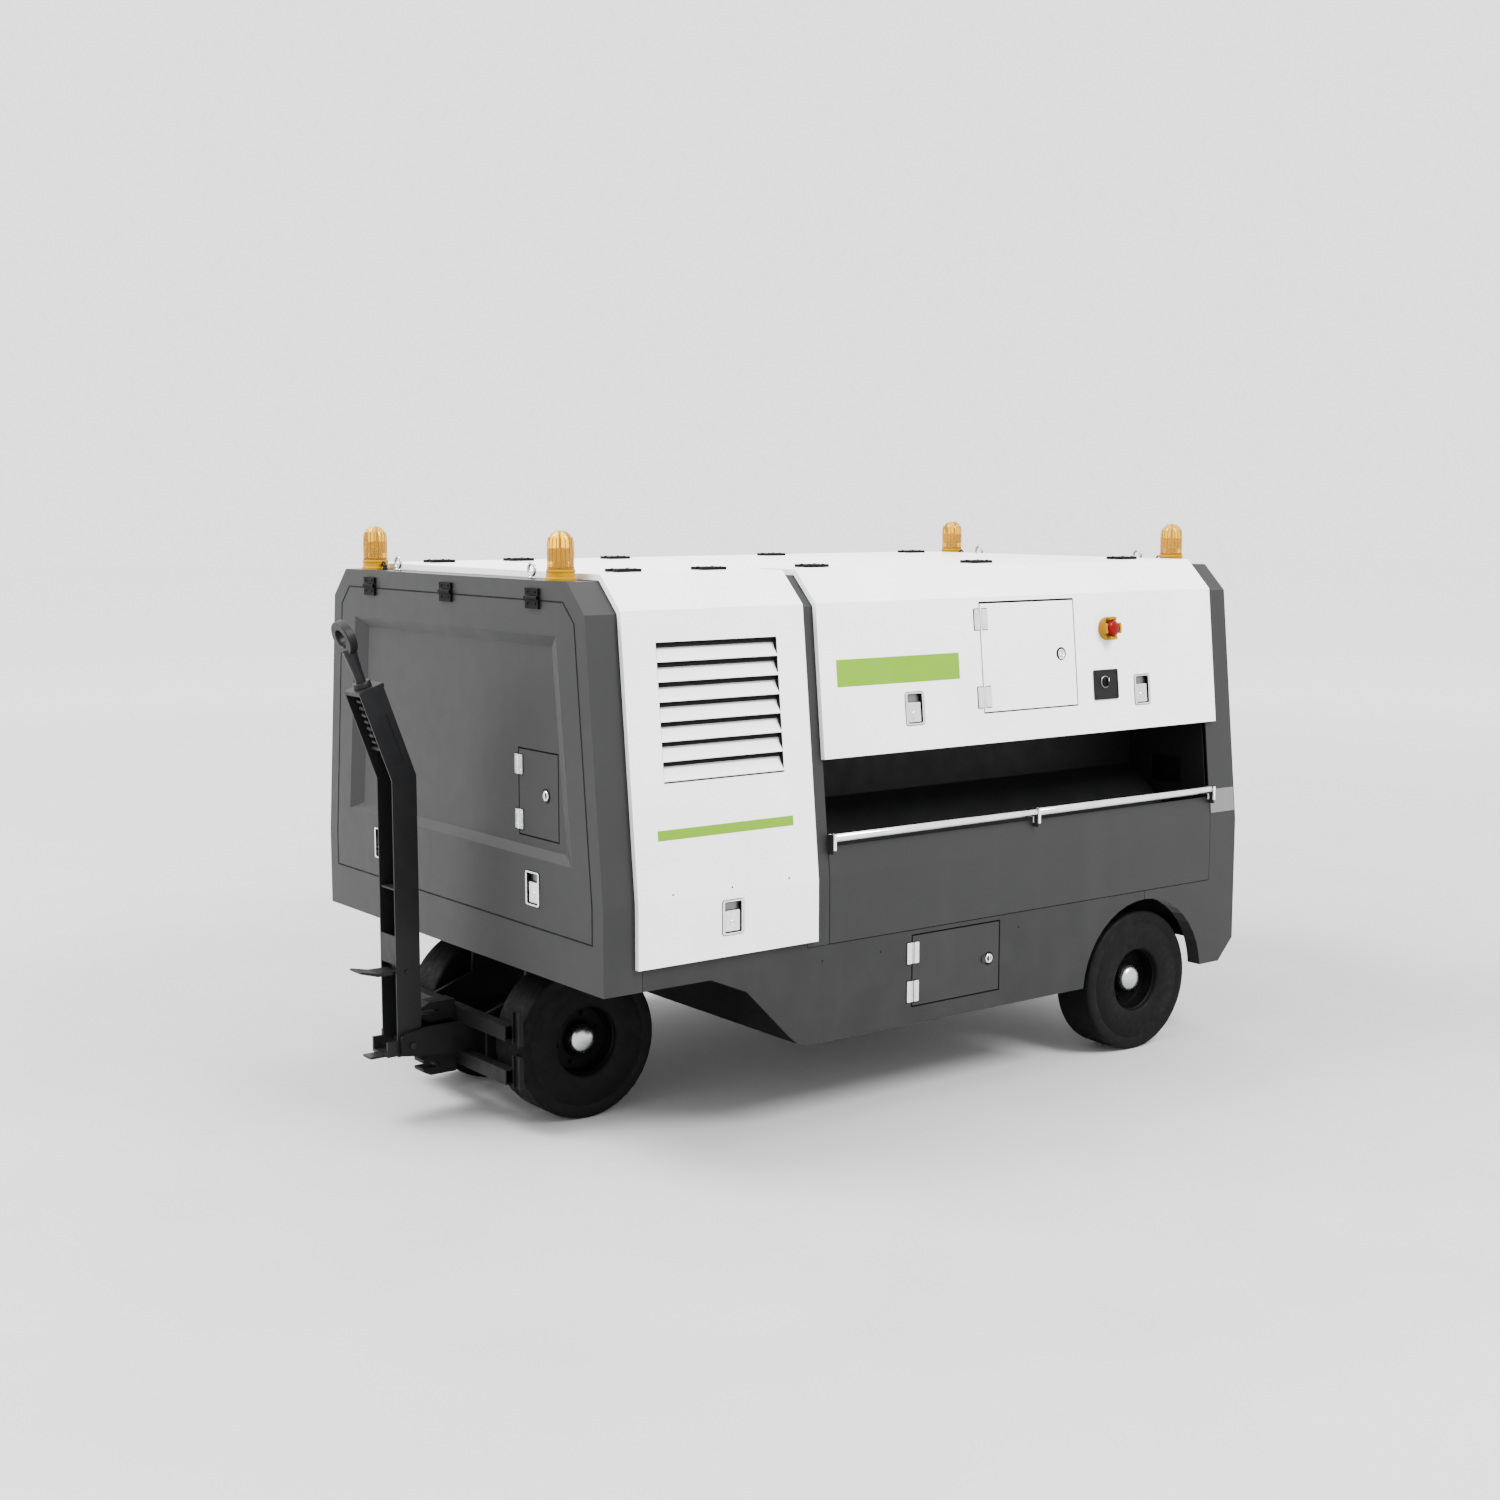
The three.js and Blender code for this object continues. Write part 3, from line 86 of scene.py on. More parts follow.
def side_face(x_mm, z_mm, side=-1, proud=PROUD):
    """Frame on a side face: local y is up the slope, z is out. Side -1 is the near side."""
    z = z_mm * MM
    lean = TILT if z > BELT_Z else 0.0
    c, s = math.cos(lean), math.sin(lean)
    out = Vector((0, side * c, s))
    up = Vector((0, -side * s, c))
    return place(up.cross(out), up, out, Vector((along(x_mm), side * (half_width(z) + proud), z)))


def nose_face(y_mm, z_mm, depth_mm=0.0):
    """Frame on the nose, looking out along -X: local x is -Y, y is up."""
    out, up = Vector((-1, 0, 0)), Vector((0, 0, 1))
    return place(up.cross(out), up, out, Vector((FRONT_X + depth_mm * MM, y_mm * MM, z_mm * MM)))


def flat_frame(x, y, z):
    """Frame parallel to the world's."""
    return Matrix.Translation(Vector((x, y, z)))


def box_middle(low, high):
    """Frame at the middle of a box, level with its lowest point."""
    return flat_frame((low.x + high.x) / 2, (low.y + high.y) / 2, low.z)


# ------------------------------------------------------------------ shapes, in mm in a local frame
class Shape:
    """Closed solids that are gathered in one mesh and made into a piece at the end."""

    def __init__(self):
        self.bm = bmesh.new()

    def _add(self, verts, faces):
        made = [self.bm.verts.new([c * MM for c in v]) for v in verts]
        for f in faces:
            self.bm.faces.new([made[i] for i in f])
        return self

    def prism(self, outline, z0, z1):
        """Outline drawn out along z."""
        n = len(outline)
        verts = [(x, y, z0) for x, y in outline] + [(x, y, z1) for x, y in outline]
        faces = [list(range(n))[::-1], list(range(n, 2 * n))]
        faces += [[i, (i + 1) % n, n + (i + 1) % n, n + i] for i in range(n)]
        return self._add(verts, faces)

    def ring(self, outer, inner, z0, z1):
        """Outline with a hole, drawn out along z. The two loops have the same number of points."""
        n = len(outer)
        verts = []
        for loop in (outer, inner):
            verts += [(x, y, z0) for x, y in loop] + [(x, y, z1) for x, y in loop]
        faces = []
        for i in range(n):
            j = (i + 1) % n
            faces += [[i, j, n + j, n + i], [2 * n + j, 2 * n + i, 3 * n + i, 3 * n + j]]
            faces += [[n + i, n + j, 3 * n + j, 3 * n + i], [j, i, 2 * n + i, 2 * n + j]]
        return self._add(verts, faces)

    def box(self, x, y, z):
        """Box from its low and high ends on each axis."""
        return self.prism([(x[0], y[0]), (x[1], y[0]), (x[1], y[1]), (x[0], y[1])], z[0], z[1])

    def lathe(self, profile, at=(0, 0, 0), axis="z", n=40):
        """Turned solid. The profile is (radius, height) points, low end first, or a closed loop."""
        closed = profile[0] == profile[-1]
        rings = profile[:-1] if closed else profile
        verts, index = [], []
        for r, h in rings:
            steps = 1 if r == 0 else n
            index.append([len(verts) + k for k in range(steps)])
            for k in range(steps):
                a = 2 * math.pi * k / n
                p = (r * math.cos(a), r * math.sin(a), h)
                if axis == "y":
                    p = (p[0], p[2], -p[1])
                elif axis == "x":
                    p = (p[2], p[1], -p[0])
                verts.append(tuple(p[i] + at[i] for i in range(3)))
        faces = []
        pairs = list(zip(index, index[1:])) + ([(index[-1], index[0])] if closed else [])
        for low, high in pairs:
            for k in range(n):
                j = (k + 1) % n
                quad = [low[k % len(low)], low[j % len(low)], high[j % len(high)], high[k % len(high)]]
                quad = [q for i, q in enumerate(quad) if q not in quad[:i]]
                if len(quad) > 2:
                    faces.append(quad)
        return self._add(verts, faces)

    def tube(self, points, radius, n=10):
        """Round rod through points, with closed ends."""
        pts = [Vector(p) for p in points]
        side = None
        verts, faces = [], []
        for i, p in enumerate(pts):
            ahead = (pts[min(i + 1, len(pts) - 1)] - pts[max(i - 1, 0)]).normalized()
            if side is None:
                side = ahead.orthogonal().normalized()
            side = (side - ahead * side.dot(ahead)).normalized()
            other = ahead.cross(side)
            for k in range(n):
                a = 2 * math.pi * k / n
                verts.append(tuple(p + (side * math.cos(a) + other * math.sin(a)) * radius))
        for i in range(len(pts) - 1):
            for k in range(n):
                j = (k + 1) % n
                faces.append([i * n + k, i * n + j, (i + 1) * n + j, (i + 1) * n + k])
        last = (len(pts) - 1) * n
        faces.append(list(range(n))[::-1])
        faces.append([last + k for k in range(n)])
        return self._add(verts, faces)

    def torus(self, centre, major, minor, axis="x", n=40, m=14):
        """Round ring of n sections with m faces each."""
        loop = []
        for k in range(m + 1):
            a = 2 * math.pi * (k % m) / m
            loop.append((major + minor * math.cos(a), minor * math.sin(a)))
        return self.lathe(loop, centre, axis, n)

    def piece(self, name, material, body, slot, at=None, bevel=0.0, sharp=38):
        """Make the object, place it in the frame at, and let it ride on a body. The slot argument is not
        used.
        """
        at = at or Matrix.Identity(4)
        bmesh.ops.transform(self.bm, matrix=at, verts=self.bm.verts)
        bmesh.ops.recalc_face_normals(self.bm, faces=self.bm.faces)
        mesh = bpy.data.meshes.new(name)
        self.bm.to_mesh(mesh)
        self.bm.free()
        mesh.shade_smooth()
        mesh.set_sharp_from_angle(angle=math.radians(sharp))
        obj = bpy.data.objects.new(name, mesh)
        bpy.context.scene.collection.objects.link(obj)
        obj.data.materials.append(material)
        if bevel:
            soften(obj, bevel)
        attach(obj, body)
        return obj


def soften(obj, width_mm):
    """Round every sharp edge with a narrow bevel."""
    mod = obj.modifiers.new("soft_edges", "BEVEL")
    mod.width = width_mm * MM
    mod.segments = 2
    mod.limit_method = "ANGLE"
    mod.angle_limit = math.radians(32)
    mod.harden_normals = True


CORNERS = ((-1, -1), (-1, 1), (1, -1), (1, 1))
CORNER_STEPS = 5                               # faces in a rounded corner


def rounded(width, height, radius, centre=(0, 0)):
    """Anticlockwise outline of a rectangle with round corners."""
    pts = []
    for sx, sy, start in ((1, 1, 0), (-1, 1, 90), (-1, -1, 180), (1, -1, 270)):
        cx, cy = sx * (width / 2 - radius), sy * (height / 2 - radius)
        for k in range(CORNER_STEPS + 1):
            a = math.radians(start + 90 * k / CORNER_STEPS)
            pts.append((centre[0] + cx + radius * math.cos(a), centre[1] + cy + radius * math.sin(a)))
    return pts


def screw_head(radius, crown, foot, edge, top):
    """Lathe profile of a domed head that stands on foot: its side ends at edge, its middle at top."""
    return [(0, foot), (radius, foot), (crown, edge), (0, top)]


# ------------------------------------------------------------------ materials
class Look:
    """A material in the making, with its shader and the object coordinates that its patterns use."""

    def __init__(self, name):
        self.material = bpy.data.materials.new(name)
        self.material.use_nodes = True
        self.nodes = self.material.node_tree.nodes
        self.links = self.material.node_tree.links
        self.shader = self.nodes["Principled BSDF"]
        self.coords = self.nodes.new("ShaderNodeTexCoord").outputs["Object"]

    def set(self, socket, value):
        """Give a socket of the shader one value for the whole surface."""
        self.shader.inputs[socket].default_value = value

    def drive(self, socket, output):
        """Let a pattern's output vary a socket of the shader."""
        self.links.new(output, self.shader.inputs[socket])

    def noise(self, scale, detail=4.0, rough=0.55, stretch=None):
        tex = self.nodes.new("ShaderNodeTexNoise")
        tex.inputs["Scale"].default_value = scale
        tex.inputs["Detail"].default_value = detail
        tex.inputs["Roughness"].default_value = rough
        source = self.coords
        if stretch:
            mapping = self.nodes.new("ShaderNodeMapping")
            mapping.inputs["Scale"].default_value = stretch
            self.links.new(self.coords, mapping.inputs["Vector"])
            source = mapping.outputs["Vector"]
        self.links.new(source, tex.inputs["Vector"])
        return tex.outputs["Fac"]

    def spread(self, value, low, high, start=0.35, end=0.65):
        """Map value from start..end to low..high."""
        node = self.nodes.new("ShaderNodeMapRange")
        node.inputs["From Min"].default_value = start
        node.inputs["From Max"].default_value = end
        node.inputs["To Min"].default_value = low
        node.inputs["To Max"].default_value = high
        self.links.new(value, node.inputs["Value"])
        return node.outputs["Result"]

    def mix(self, factor, a, b):
        """Colour that goes from a to b with factor. Each is a plain colour or an output."""
        node = self.nodes.new("ShaderNodeMix")
        node.data_type = "RGBA"
        for socket, value in (("A", a), ("B", b)):
            slot = [s for s in node.inputs if s.name == socket and s.type == "RGBA"][0]
            if isinstance(value, tuple):
                slot.default_value = (*value, 1.0)
            else:
                self.links.new(value, slot)
        self.links.new(factor, [s for s in node.inputs if s.name == "Factor" and s.type == "VALUE"][0])
        return [s for s in node.outputs if s.type == "RGBA"][0]

    def times(self, a, b):
        node = self.nodes.new("ShaderNodeMath")
        node.operation = "MULTIPLY"
        self.links.new(a, node.inputs[0])
        self.links.new(b, node.inputs[1])
        return node.outputs["Value"]

    def bump(self, height, strength, distance):
        """Let a pattern's output raise and sink the surface."""
        node = self.nodes.new("ShaderNodeBump")
        node.inputs["Strength"].default_value = strength
        node.inputs["Distance"].default_value = distance
        self.links.new(height, node.inputs["Height"])
        self.drive("Normal", node.outputs["Normal"])


def scaled(colour, factor):
    return tuple(min(1.0, c * factor) for c in colour)


DUST = (0.42, 0.40, 0.37)


def painted(name, colour, rough=(0.34, 0.46), peel=0.10, dust=0.10, gloss=0.25, coat=0.0, streaks=0.05):
    """Powder coat: orange peel, faint rain streaks, road dust that thickens towards the ground."""
    look = Look(name)
    cloud = look.spread(look.noise(2.3, 5.0), 0.0, 1.0)
    tone = look.mix(cloud, scaled(colour, 0.955), scaled(colour, 1.03))
    streak = look.noise(9.0, 3.0, stretch=(1.0, 1.0, 0.05))
    tone = look.mix(look.spread(streak, 0.0, streaks, 0.5, 0.75), tone, scaled(DUST, 0.8))
    height = look.nodes.new("ShaderNodeSeparateXYZ")
    look.links.new(look.coords, height.inputs["Vector"])
    low = look.spread(height.outputs["Z"], 1.0, 0.0, 0.1, 1.1)
    patch = look.spread(look.noise(7.0, 6.0), 0.0, dust, 0.42, 0.68)
    look.drive("Base Color", look.mix(look.times(low, patch), tone, DUST))
    grain = look.noise(620.0, 2.0)
    look.drive("Roughness", look.spread(look.noise(14.0, 5.0), *rough, 0.3, 0.7))
    look.bump(grain, peel, 0.0006)
    look.set("Specular IOR Level", gloss)
    look.set("Coat Weight", coat)
    look.set("Coat Roughness", 0.2)
    return look.material


def bare_metal(name, colour, rough=(0.2, 0.36)):
    """Plated or polished steel with fine scratches and slightly cloudy plating."""
    look = Look(name)
    cloud = look.spread(look.noise(22.0, 5.0), 0.0, 1.0)
    look.drive("Base Color", look.mix(cloud, scaled(colour, 0.84), colour))
    scratch = look.noise(160.0, 4.0, 0.6)
    look.drive("Roughness", look.spread(scratch, *rough, 0.3, 0.7))
    look.bump(scratch, 0.06, 0.0003)
    look.set("Metallic", 1.0)
    return look.material


def rubber(name, colour):
    """Matt rubber with paler scuffs and a fine grain."""
    look = Look(name)
    scuff = look.spread(look.noise(26.0, 6.0), 0.0, 0.3, 0.5, 0.75)
    look.drive("Base Color", look.mix(scuff, colour, scaled(colour, 2.2)))
    look.drive("Roughness", look.spread(look.noise(40.0, 5.0), 0.5, 0.72))
    look.bump(look.noise(420.0, 3.0), 0.12, 0.0005)
    look.set("Specular IOR Level", 0.08)
    return look.material


def plastic(name, colour, rough=(0.3, 0.42), grain=0.12, gloss=0.2):
    """Moulded plastic with a spark-eroded grain."""
    look = Look(name)
    cloud = look.noise(30.0, 4.0)
    look.drive("Base Color", look.mix(look.spread(cloud, 0.0, 1.0), scaled(colour, 0.9), colour))
    look.drive("Roughness", look.spread(cloud, *rough))
    look.bump(look.noise(900.0, 2.0), grain, 0.0003)
    look.set("Specular IOR Level", gloss)
    return look.material


def lens(name, colour):
    """Amber polycarbonate, tinted through and slightly milky."""
    look = Look(name)
    cloud = look.noise(18.0, 3.0)
    look.drive("Base Color", look.mix(look.spread(cloud, 0.0, 1.0), scaled(colour, 0.9), colour))
    look.drive("Roughness", look.spread(cloud, 0.03, 0.08))
    look.set("Transmission Weight", 0.8)
    look.set("IOR", 1.4)
    look.set("Specular IOR Level", 0.3)
    return look.material


FRAME_GREY = (0.0145, 0.0147, 0.015)
WHITE = painted("door_white", (0.83, 0.83, 0.83), rough=(0.30, 0.42), dust=0.03, streaks=0.02, coat=0.15)
GREY = painted("frame_grey", FRAME_GREY, rough=(0.42, 0.47), dust=0.01, streaks=0.006, gloss=0.22)
SKIRT = painted("skirt_grey", scaled(FRAME_GREY, 0.9), rough=(0.42, 0.48),
                dust=0.015, streaks=0.006, gloss=0.2)
BLACK = painted("chassis_black", (0.0045, 0.0045, 0.0048), rough=(0.4, 0.6), peel=0.2,
                dust=0.006, streaks=0.003, gloss=0.12)
TOWBAR_BLACK = painted("towbar_black", (0.0075, 0.0077, 0.0083), rough=(0.34, 0.5), peel=0.16,
                       dust=0.006, streaks=0.004, gloss=0.16)
TRAY_DARK = painted("tray_dark", (0.006, 0.0062, 0.0064), rough=(0.42, 0.6), peel=0.2,
                    dust=0.006, streaks=0.004, gloss=0.14)
ROLLER = painted("roller_white", (0.72, 0.72, 0.71), rough=(0.24, 0.36), dust=0.05, coat=0.3)
POLISHED = bare_metal("roller_tube_metal", (0.86, 0.86, 0.86), rough=(0.12, 0.2))
CUP = bare_metal("latch_cup", (0.16, 0.16, 0.165), rough=(0.3, 0.45))
STEEL = bare_metal("zinc_steel", (0.46, 0.47, 0.48))
CHROME = bare_metal("latch_chrome", (0.78, 0.79, 0.80), rough=(0.10, 0.22))
SATIN = bare_metal("hub_satin", (0.50, 0.51, 0.52), rough=(0.24, 0.34))
HINGE_STEEL = bare_metal("hinge_steel", (0.84, 0.84, 0.84), rough=(0.26, 0.4))
RUBBER = rubber("tyre_rubber", (0.0032, 0.0032, 0.0034))
AMBER = lens("beacon_amber", (0.90, 0.48, 0.0))
AMBER_BASE = plastic("beacon_base", (0.34, 0.17, 0.0), rough=(0.25, 0.38), gloss=0.05)
# darker amber than the lens: on the ribs and collar rings it paints the shade seen along the ribs and at the
# lens's collar
AMBER_DARK = plastic("beacon_rib", (0.24, 0.10, 0.0), rough=(0.25, 0.38), gloss=0.05)
YELLOW = plastic("stop_yellow", (0.28, 0.13, 0.0), rough=(0.28, 0.4), gloss=0.05)
RED = plastic("stop_red", (0.15, 0.0015, 0.001), rough=(0.22, 0.34), gloss=0.08)
# black rubber for gaskets, shims and seals; also the colour of the strips of painted shadow at the louvres
# and around the nose door
SEAL_AND_SHADOW = rubber("gap_seal_and_shadow", (0.003, 0.003, 0.003))
WHEEL_BLACK = painted("wheel_black", (0.0022, 0.0022, 0.0023), rough=(0.4, 0.6),
                      dust=0.004, streaks=0.002, gloss=0.06)
KNOB = plastic("knob_black", (0.006, 0.006, 0.0063), rough=(0.34, 0.5), gloss=0.12)
HINGE_BLACK = plastic("hinge_black", (0.0035, 0.0035, 0.0037), rough=(0.45, 0.6), gloss=0.05)
CASE = plastic("case_dark", (0.03, 0.033, 0.037), rough=(0.4, 0.55), grain=0.3)
GREEN = painted("stripe_green", (0.12, 0.27, 0.0), rough=(0.3, 0.4), peel=0.05, dust=0.03, streaks=0.02)
MARKER = painted("marker_grey", (0.12, 0.12, 0.12), rough=(0.3, 0.42), peel=0.06, dust=0.05)

LOOKS = {
    "door_white": WHITE, "frame_grey": GREY, "skirt_grey": SKIRT, "chassis_black": BLACK,
    "towbar_black": TOWBAR_BLACK, "tray_dark": TRAY_DARK, "roller_white": ROLLER,
    "bright_steel": STEEL, "chrome_latch": CHROME, "tyre_rubber": RUBBER, "beacon_amber": AMBER,
    "stop_yellow": YELLOW, "stop_red": RED, "knob_black": KNOB, "fan_black": KNOB,
    "battery_case": CASE, "control_case": CASE,
}
# bevel on the edges of the CAD nodes in mm, by material
EDGE_MM = {"door_white": 2.0, "frame_grey": 2.5, "skirt_grey": 1.5, "towbar_black": 1.2}
OTHER_EDGE_MM = 0.8


def dress_cad():
    """Give every CAD node the look of its material slot and soft edges."""
    slots = {s["node"]: s["material_slot"] for s in frame["record"]["subparts"]}
    for name, obj in frame["nodes"].items():
        look = LOOKS[slots[name]]
        if not obj.data.materials:
            obj.data.materials.append(look)
        for slot in obj.material_slots:
            slot.material = look
        soften(obj, EDGE_MM.get(slots[name], OTHER_EDGE_MM))


# ------------------------------------------------------------------ wheels
# profiles are (radius, distance outwards from the middle of the tyre)
TYRE_PROFILE = [
    (124, -76), (128, -84), (134, -87), (268, -87.5), (276, -86), (280, -82), (281.6, -74), (282, -40),
    (282, 40), (281.6, 74), (280, 82), (276, 86), (268, 87.5), (236, 87.4), (235, 86.8), (233, 86.8),
    (232, 87.4), (134, 87), (128, 84), (124, 76), (124, -76),
]
RIM_PROFILE = [
    (0, -58), (57, -58), (58, -4), (62, 0), (114, 0), (119, -4), (120, -66), (123.6, -70),
    (123.6, 66), (120, 62), (119, 16), (114, 9), (92, 9), (70, 11), (62, 15), (58, 22), (56, 34),
    (53, 38), (0, 38),
]
CAP_PROFILE = [(0, 36), (52, 36), (53, 40), (51, 43), (50, 50), (44, 57.5), (34, 63), (20, 66.6), (0, 68)]
NUT_PROFILE = [(0, 0), (10, 0), (10, 9), (8.5, 11), (4.5, 11), (4.5, 15), (0, 15.5)]
NUTS, NUT_CIRCLE, NUT_SEAT = 6, 88, 9
FIRST_NUT = 15                                 # degrees


def build_wheels():
    for label, side in QUARTERS.items():
        low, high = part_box(f"tyre_{label}")
        centre = ((low.x + high.x) / 2, (low.y + high.y) / 2, AXLE_Z)
        turn = Matrix.Translation(centre) @ Matrix.Rotation(-side * math.pi / 2, 4, "X")
        body = f"wheel_{label}"
        tyre = Shape().lathe(TYRE_PROFILE, n=96).piece(
            f"tread_{label}", RUBBER, body, "tyre_rubber", turn, sharp=50)
        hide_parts(f"tyre_{label}")
        disc = Shape().lathe(RIM_PROFILE, n=72).piece(
            f"wheel_disc_{label}", WHEEL_BLACK, body, "chassis_black", turn, sharp=40)
        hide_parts(f"rim_{label}")
        nuts = Shape()
        for k in range(NUTS):
            a = math.radians(360 / NUTS * k + FIRST_NUT)
            nuts.lathe(NUT_PROFILE, (NUT_CIRCLE * math.cos(a), NUT_CIRCLE * math.sin(a), NUT_SEAT), n=6)
        nuts.piece(f"wheel_nuts_{label}", WHEEL_BLACK, body, "chassis_black", turn, bevel=0.5)
        Shape().lathe(CAP_PROFILE, n=48).piece(
            f"hub_cap_{label}", SATIN, body, "bright_steel", turn, sharp=60)


# ------------------------------------------------------------------ roof fittings
BEACON_FOOT = [
    (0, 0), (52, 0), (52, 8), (50, 10), (47.5, 11), (47, 26), (49, 28), (49, 34), (46.5, 36), (0, 36),
]
BEACON_LENS = [
    (0, 36.5), (44, 36.5), (44.6, 40), (44.2, 60), (43.8, 108), (42.5, 124), (38.5, 141), (31, 153),
    (20, 160.5), (9, 163.6), (0, 164.4),
]
LAMP = [(0, 37), (18, 37), (18, 60), (13, 62), (13, 96), (9, 106), (0, 108)]
REFLECTOR = [(30, 70), (31, 62), (33, 66), (32, 102), (30, 104), (30, 70)]
RIBS, RIB_CIRCLE = 18, 43.6
RIB_RISE = ((1, 40), (1, 106), (0.98, 124), (0.9, 140))       # share of the circle's radius, height
GLAND = [(0, 0), (11, 0), (11, 8), (9, 9), (9, 14), (10, 16), (7, 22), (0, 22)]
CABLE = ((0, 20), (3, 27), (12, 30), (22, 24), (26, 12))      # distance outwards from the gland, height
BEACON_WIDTH, GLAND_GAP = 0.104, 0.026        # a beacon's cable gland stands on its inward side


def build_beacons():
    for label, side in QUARTERS.items():
        low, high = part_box(f"beacon_{label}")
        at = box_middle(low, high)
        foot = Shape().lathe(BEACON_FOOT, n=48).piece(
            f"beacon_foot_{label}", AMBER_BASE, "body", "beacon_amber", at, sharp=35)
        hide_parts(f"beacon_{label}")
        Shape().lathe(BEACON_LENS, n=64).piece(
            f"beacon_lens_{label}", AMBER, "body", "beacon_amber", at, sharp=35)
        ribs = Shape()
        for k in range(RIBS):
            a = 2 * math.pi * k / RIBS
            x, y = RIB_CIRCLE * math.cos(a), RIB_CIRCLE * math.sin(a)
            ribs.tube([(x * share, y * share, z) for share, z in RIB_RISE], radius=1.5, n=6)
        # rings at the lens's collar, whose darker amber paints the collar's shade
        for z in (39, 43):
            ribs.torus((0, 0, z), major=44.4, minor=1.6, axis="z", n=48, m=8)
        ribs.piece(f"beacon_ribs_{label}", AMBER_DARK, "body", "beacon_amber", at, sharp=60)
        inner = Shape().lathe(LAMP, n=24).lathe(REFLECTOR, n=32)
        inner.piece(f"beacon_lamp_{label}", AMBER_BASE, "body", "beacon_amber", at)
        gland = Shape().lathe(GLAND, n=6)
        gland.tube([(0, side * y, z) for y, z in CABLE], radius=3.6)
        gap = BEACON_WIDTH + GLAND_GAP if side < 0 else -GLAND_GAP
        inward = flat_frame((low.x + high.x) / 2, low.y + gap, low.z)
        gland.piece(f"beacon_gland_{label}", KNOB, "body", "knob_black", inward, bevel=0.6)


EYE_FOOT = [(0, 0), (13, 0), (13.6, 2), (13, 6), (10, 8), (7, 10), (5, 12), (0, 12)]


def build_lifting_eyes():
    for label in QUARTERS:
        at = box_middle(*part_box(f"lifting_eye_{label}"))
        eye = Shape().torus((0, 0, 30), major=20.6, minor=5.4, n=44).lathe(EYE_FOOT, n=28)
        obj = eye.piece(f"eye_bolt_{label}", STEEL, "body", "bright_steel", at, sharp=55)
        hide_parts(f"lifting_eye_{label}")


ROOF_HINGES = {"front_door": (321, 677), "main_door": (1137, 1951, 2767)}
ROOF_HINGE_HALF, ROOF_HINGE_THICK, ROOF_SCREW_Y = 50, 11, 24
FIXED_LEAF, MOVING_LEAF = (12, 40), (8, 36)   # each leaf's edges, measured from the hinge line


def build_roof_hinges():
    """Pairs of black leaves on either side of the side doors' hinge lines."""
    top = ROOF_Z / MM
    head = top + ROOF_HINGE_THICK
    for label, side in SIDES.items():
        y = side * HINGE_Y / MM
        for door, stations in ROOF_HINGES.items():
            fixed, moving = Shape(), Shape()
            for x in stations:
                cx = along(x) / MM
                for leaf, reach, toward in ((fixed, FIXED_LEAF, -side), (moving, MOVING_LEAF, side)):
                    edges = sorted(y + toward * edge for edge in reach)
                    leaf.box((cx - ROOF_HINGE_HALF, cx + ROOF_HINGE_HALF), edges, (top + 0.3, head))
                    screw_y = y + toward * ROOF_SCREW_Y
                    for dx in (-30, 30):
                        leaf.lathe(screw_head(5, 4, 0, 2, 2.6), (cx + dx, screw_y, head), n=14)
            body = f"{label}_{door}"
            fixed.piece(f"roof_hinges_{body}", HINGE_BLACK, "body", "knob_black", bevel=0.8)
            moving.piece(f"door_hinges_{body}", HINGE_BLACK, body, "knob_black", bevel=0.8)


NOSE_HINGES_Y, NOSE_HINGE_Z, NOSE_HINGE_HALF = (-595, 0, 595), 1880, 42


def build_nose_hinges():
    """Knuckle and leaf on the nose door, second leaf on the front frame above the joint."""
    half = NOSE_HINGE_HALF
    knuckle = [(0, 1 - half), (7.6, 1 - half), (7.6, half - 1), (0, half - 1)]
    for y in NOSE_HINGES_Y:
        at = nose_face(y, NOSE_HINGE_Z)
        block = Shape().box((-half, half), (-36, -2), (0.5, 9)).lathe(knuckle, (0, 0, 8), "x", 20)
        top = Shape().box((-half, half), (9, 32), (0.3, 9))
        for dx in (-24, 24):
            block.lathe(screw_head(5, 4, 0, 2.4, 3), (dx, -19, 9), n=14)
            top.lathe(screw_head(5, 4, 0, 2.4, 3), (dx, 21, 9), n=14)
        number = y - NOSE_HINGES_Y[0]
        block.piece(f"nose_hinge_leaf_{number}", HINGE_BLACK, "nose_door", "knob_black", at, bevel=0.8)
        top.piece(f"nose_hinge_top_{number}", HINGE_BLACK, "body", "knob_black", at, bevel=0.8)


# ------------------------------------------------------------------ latches and locks
LATCH_SPOTS = {"front_door": (503, 813), "main_door_front": (1358, 1458), "main_door_rear": (2554, 1460)}
NOSE_LATCH_Y, NOSE_LATCH_Z = 565, 896
KEY_CYLINDER = [(0, -4), (12, -4), (12, -1.2), (10.8, -0.4), (9, -0.4), (8.6, -1.4), (0, -1.4)]


def latch_dish(name, body, at):
    """Stamped dish: flange with a rivet in each corner, floor of its well, black rubber around both."""
    dish = Shape().ring(rounded(88, 118, 9), rounded(70, 106, 6), 0.2, 2.6)
    for sx, sy in CORNERS:
        dish.lathe(screw_head(3.2, 2.6, 2.4, 3.6, 3.8), (sx * 38.5, sy * 53, 0), n=12)
    dish.piece(name, CHROME, body, "chrome_latch", at, bevel=0.5)
    well = rounded(71, 107, 6)
    Shape().prism(well, -16, -13.5).piece(name.replace("dish", "well"), CUP, body, "chrome_latch", at)
    gasket = Shape().ring(well, rounded(66, 102, 5), -13.5, 0.6)
    gasket.ring(rounded(92, 122, 11), rounded(87.5, 117.5, 9), 0.1, 1.6)
    gasket.piece(name.replace("dish", "gasket"), SEAL_AND_SHADOW, body, "knob_black", at)


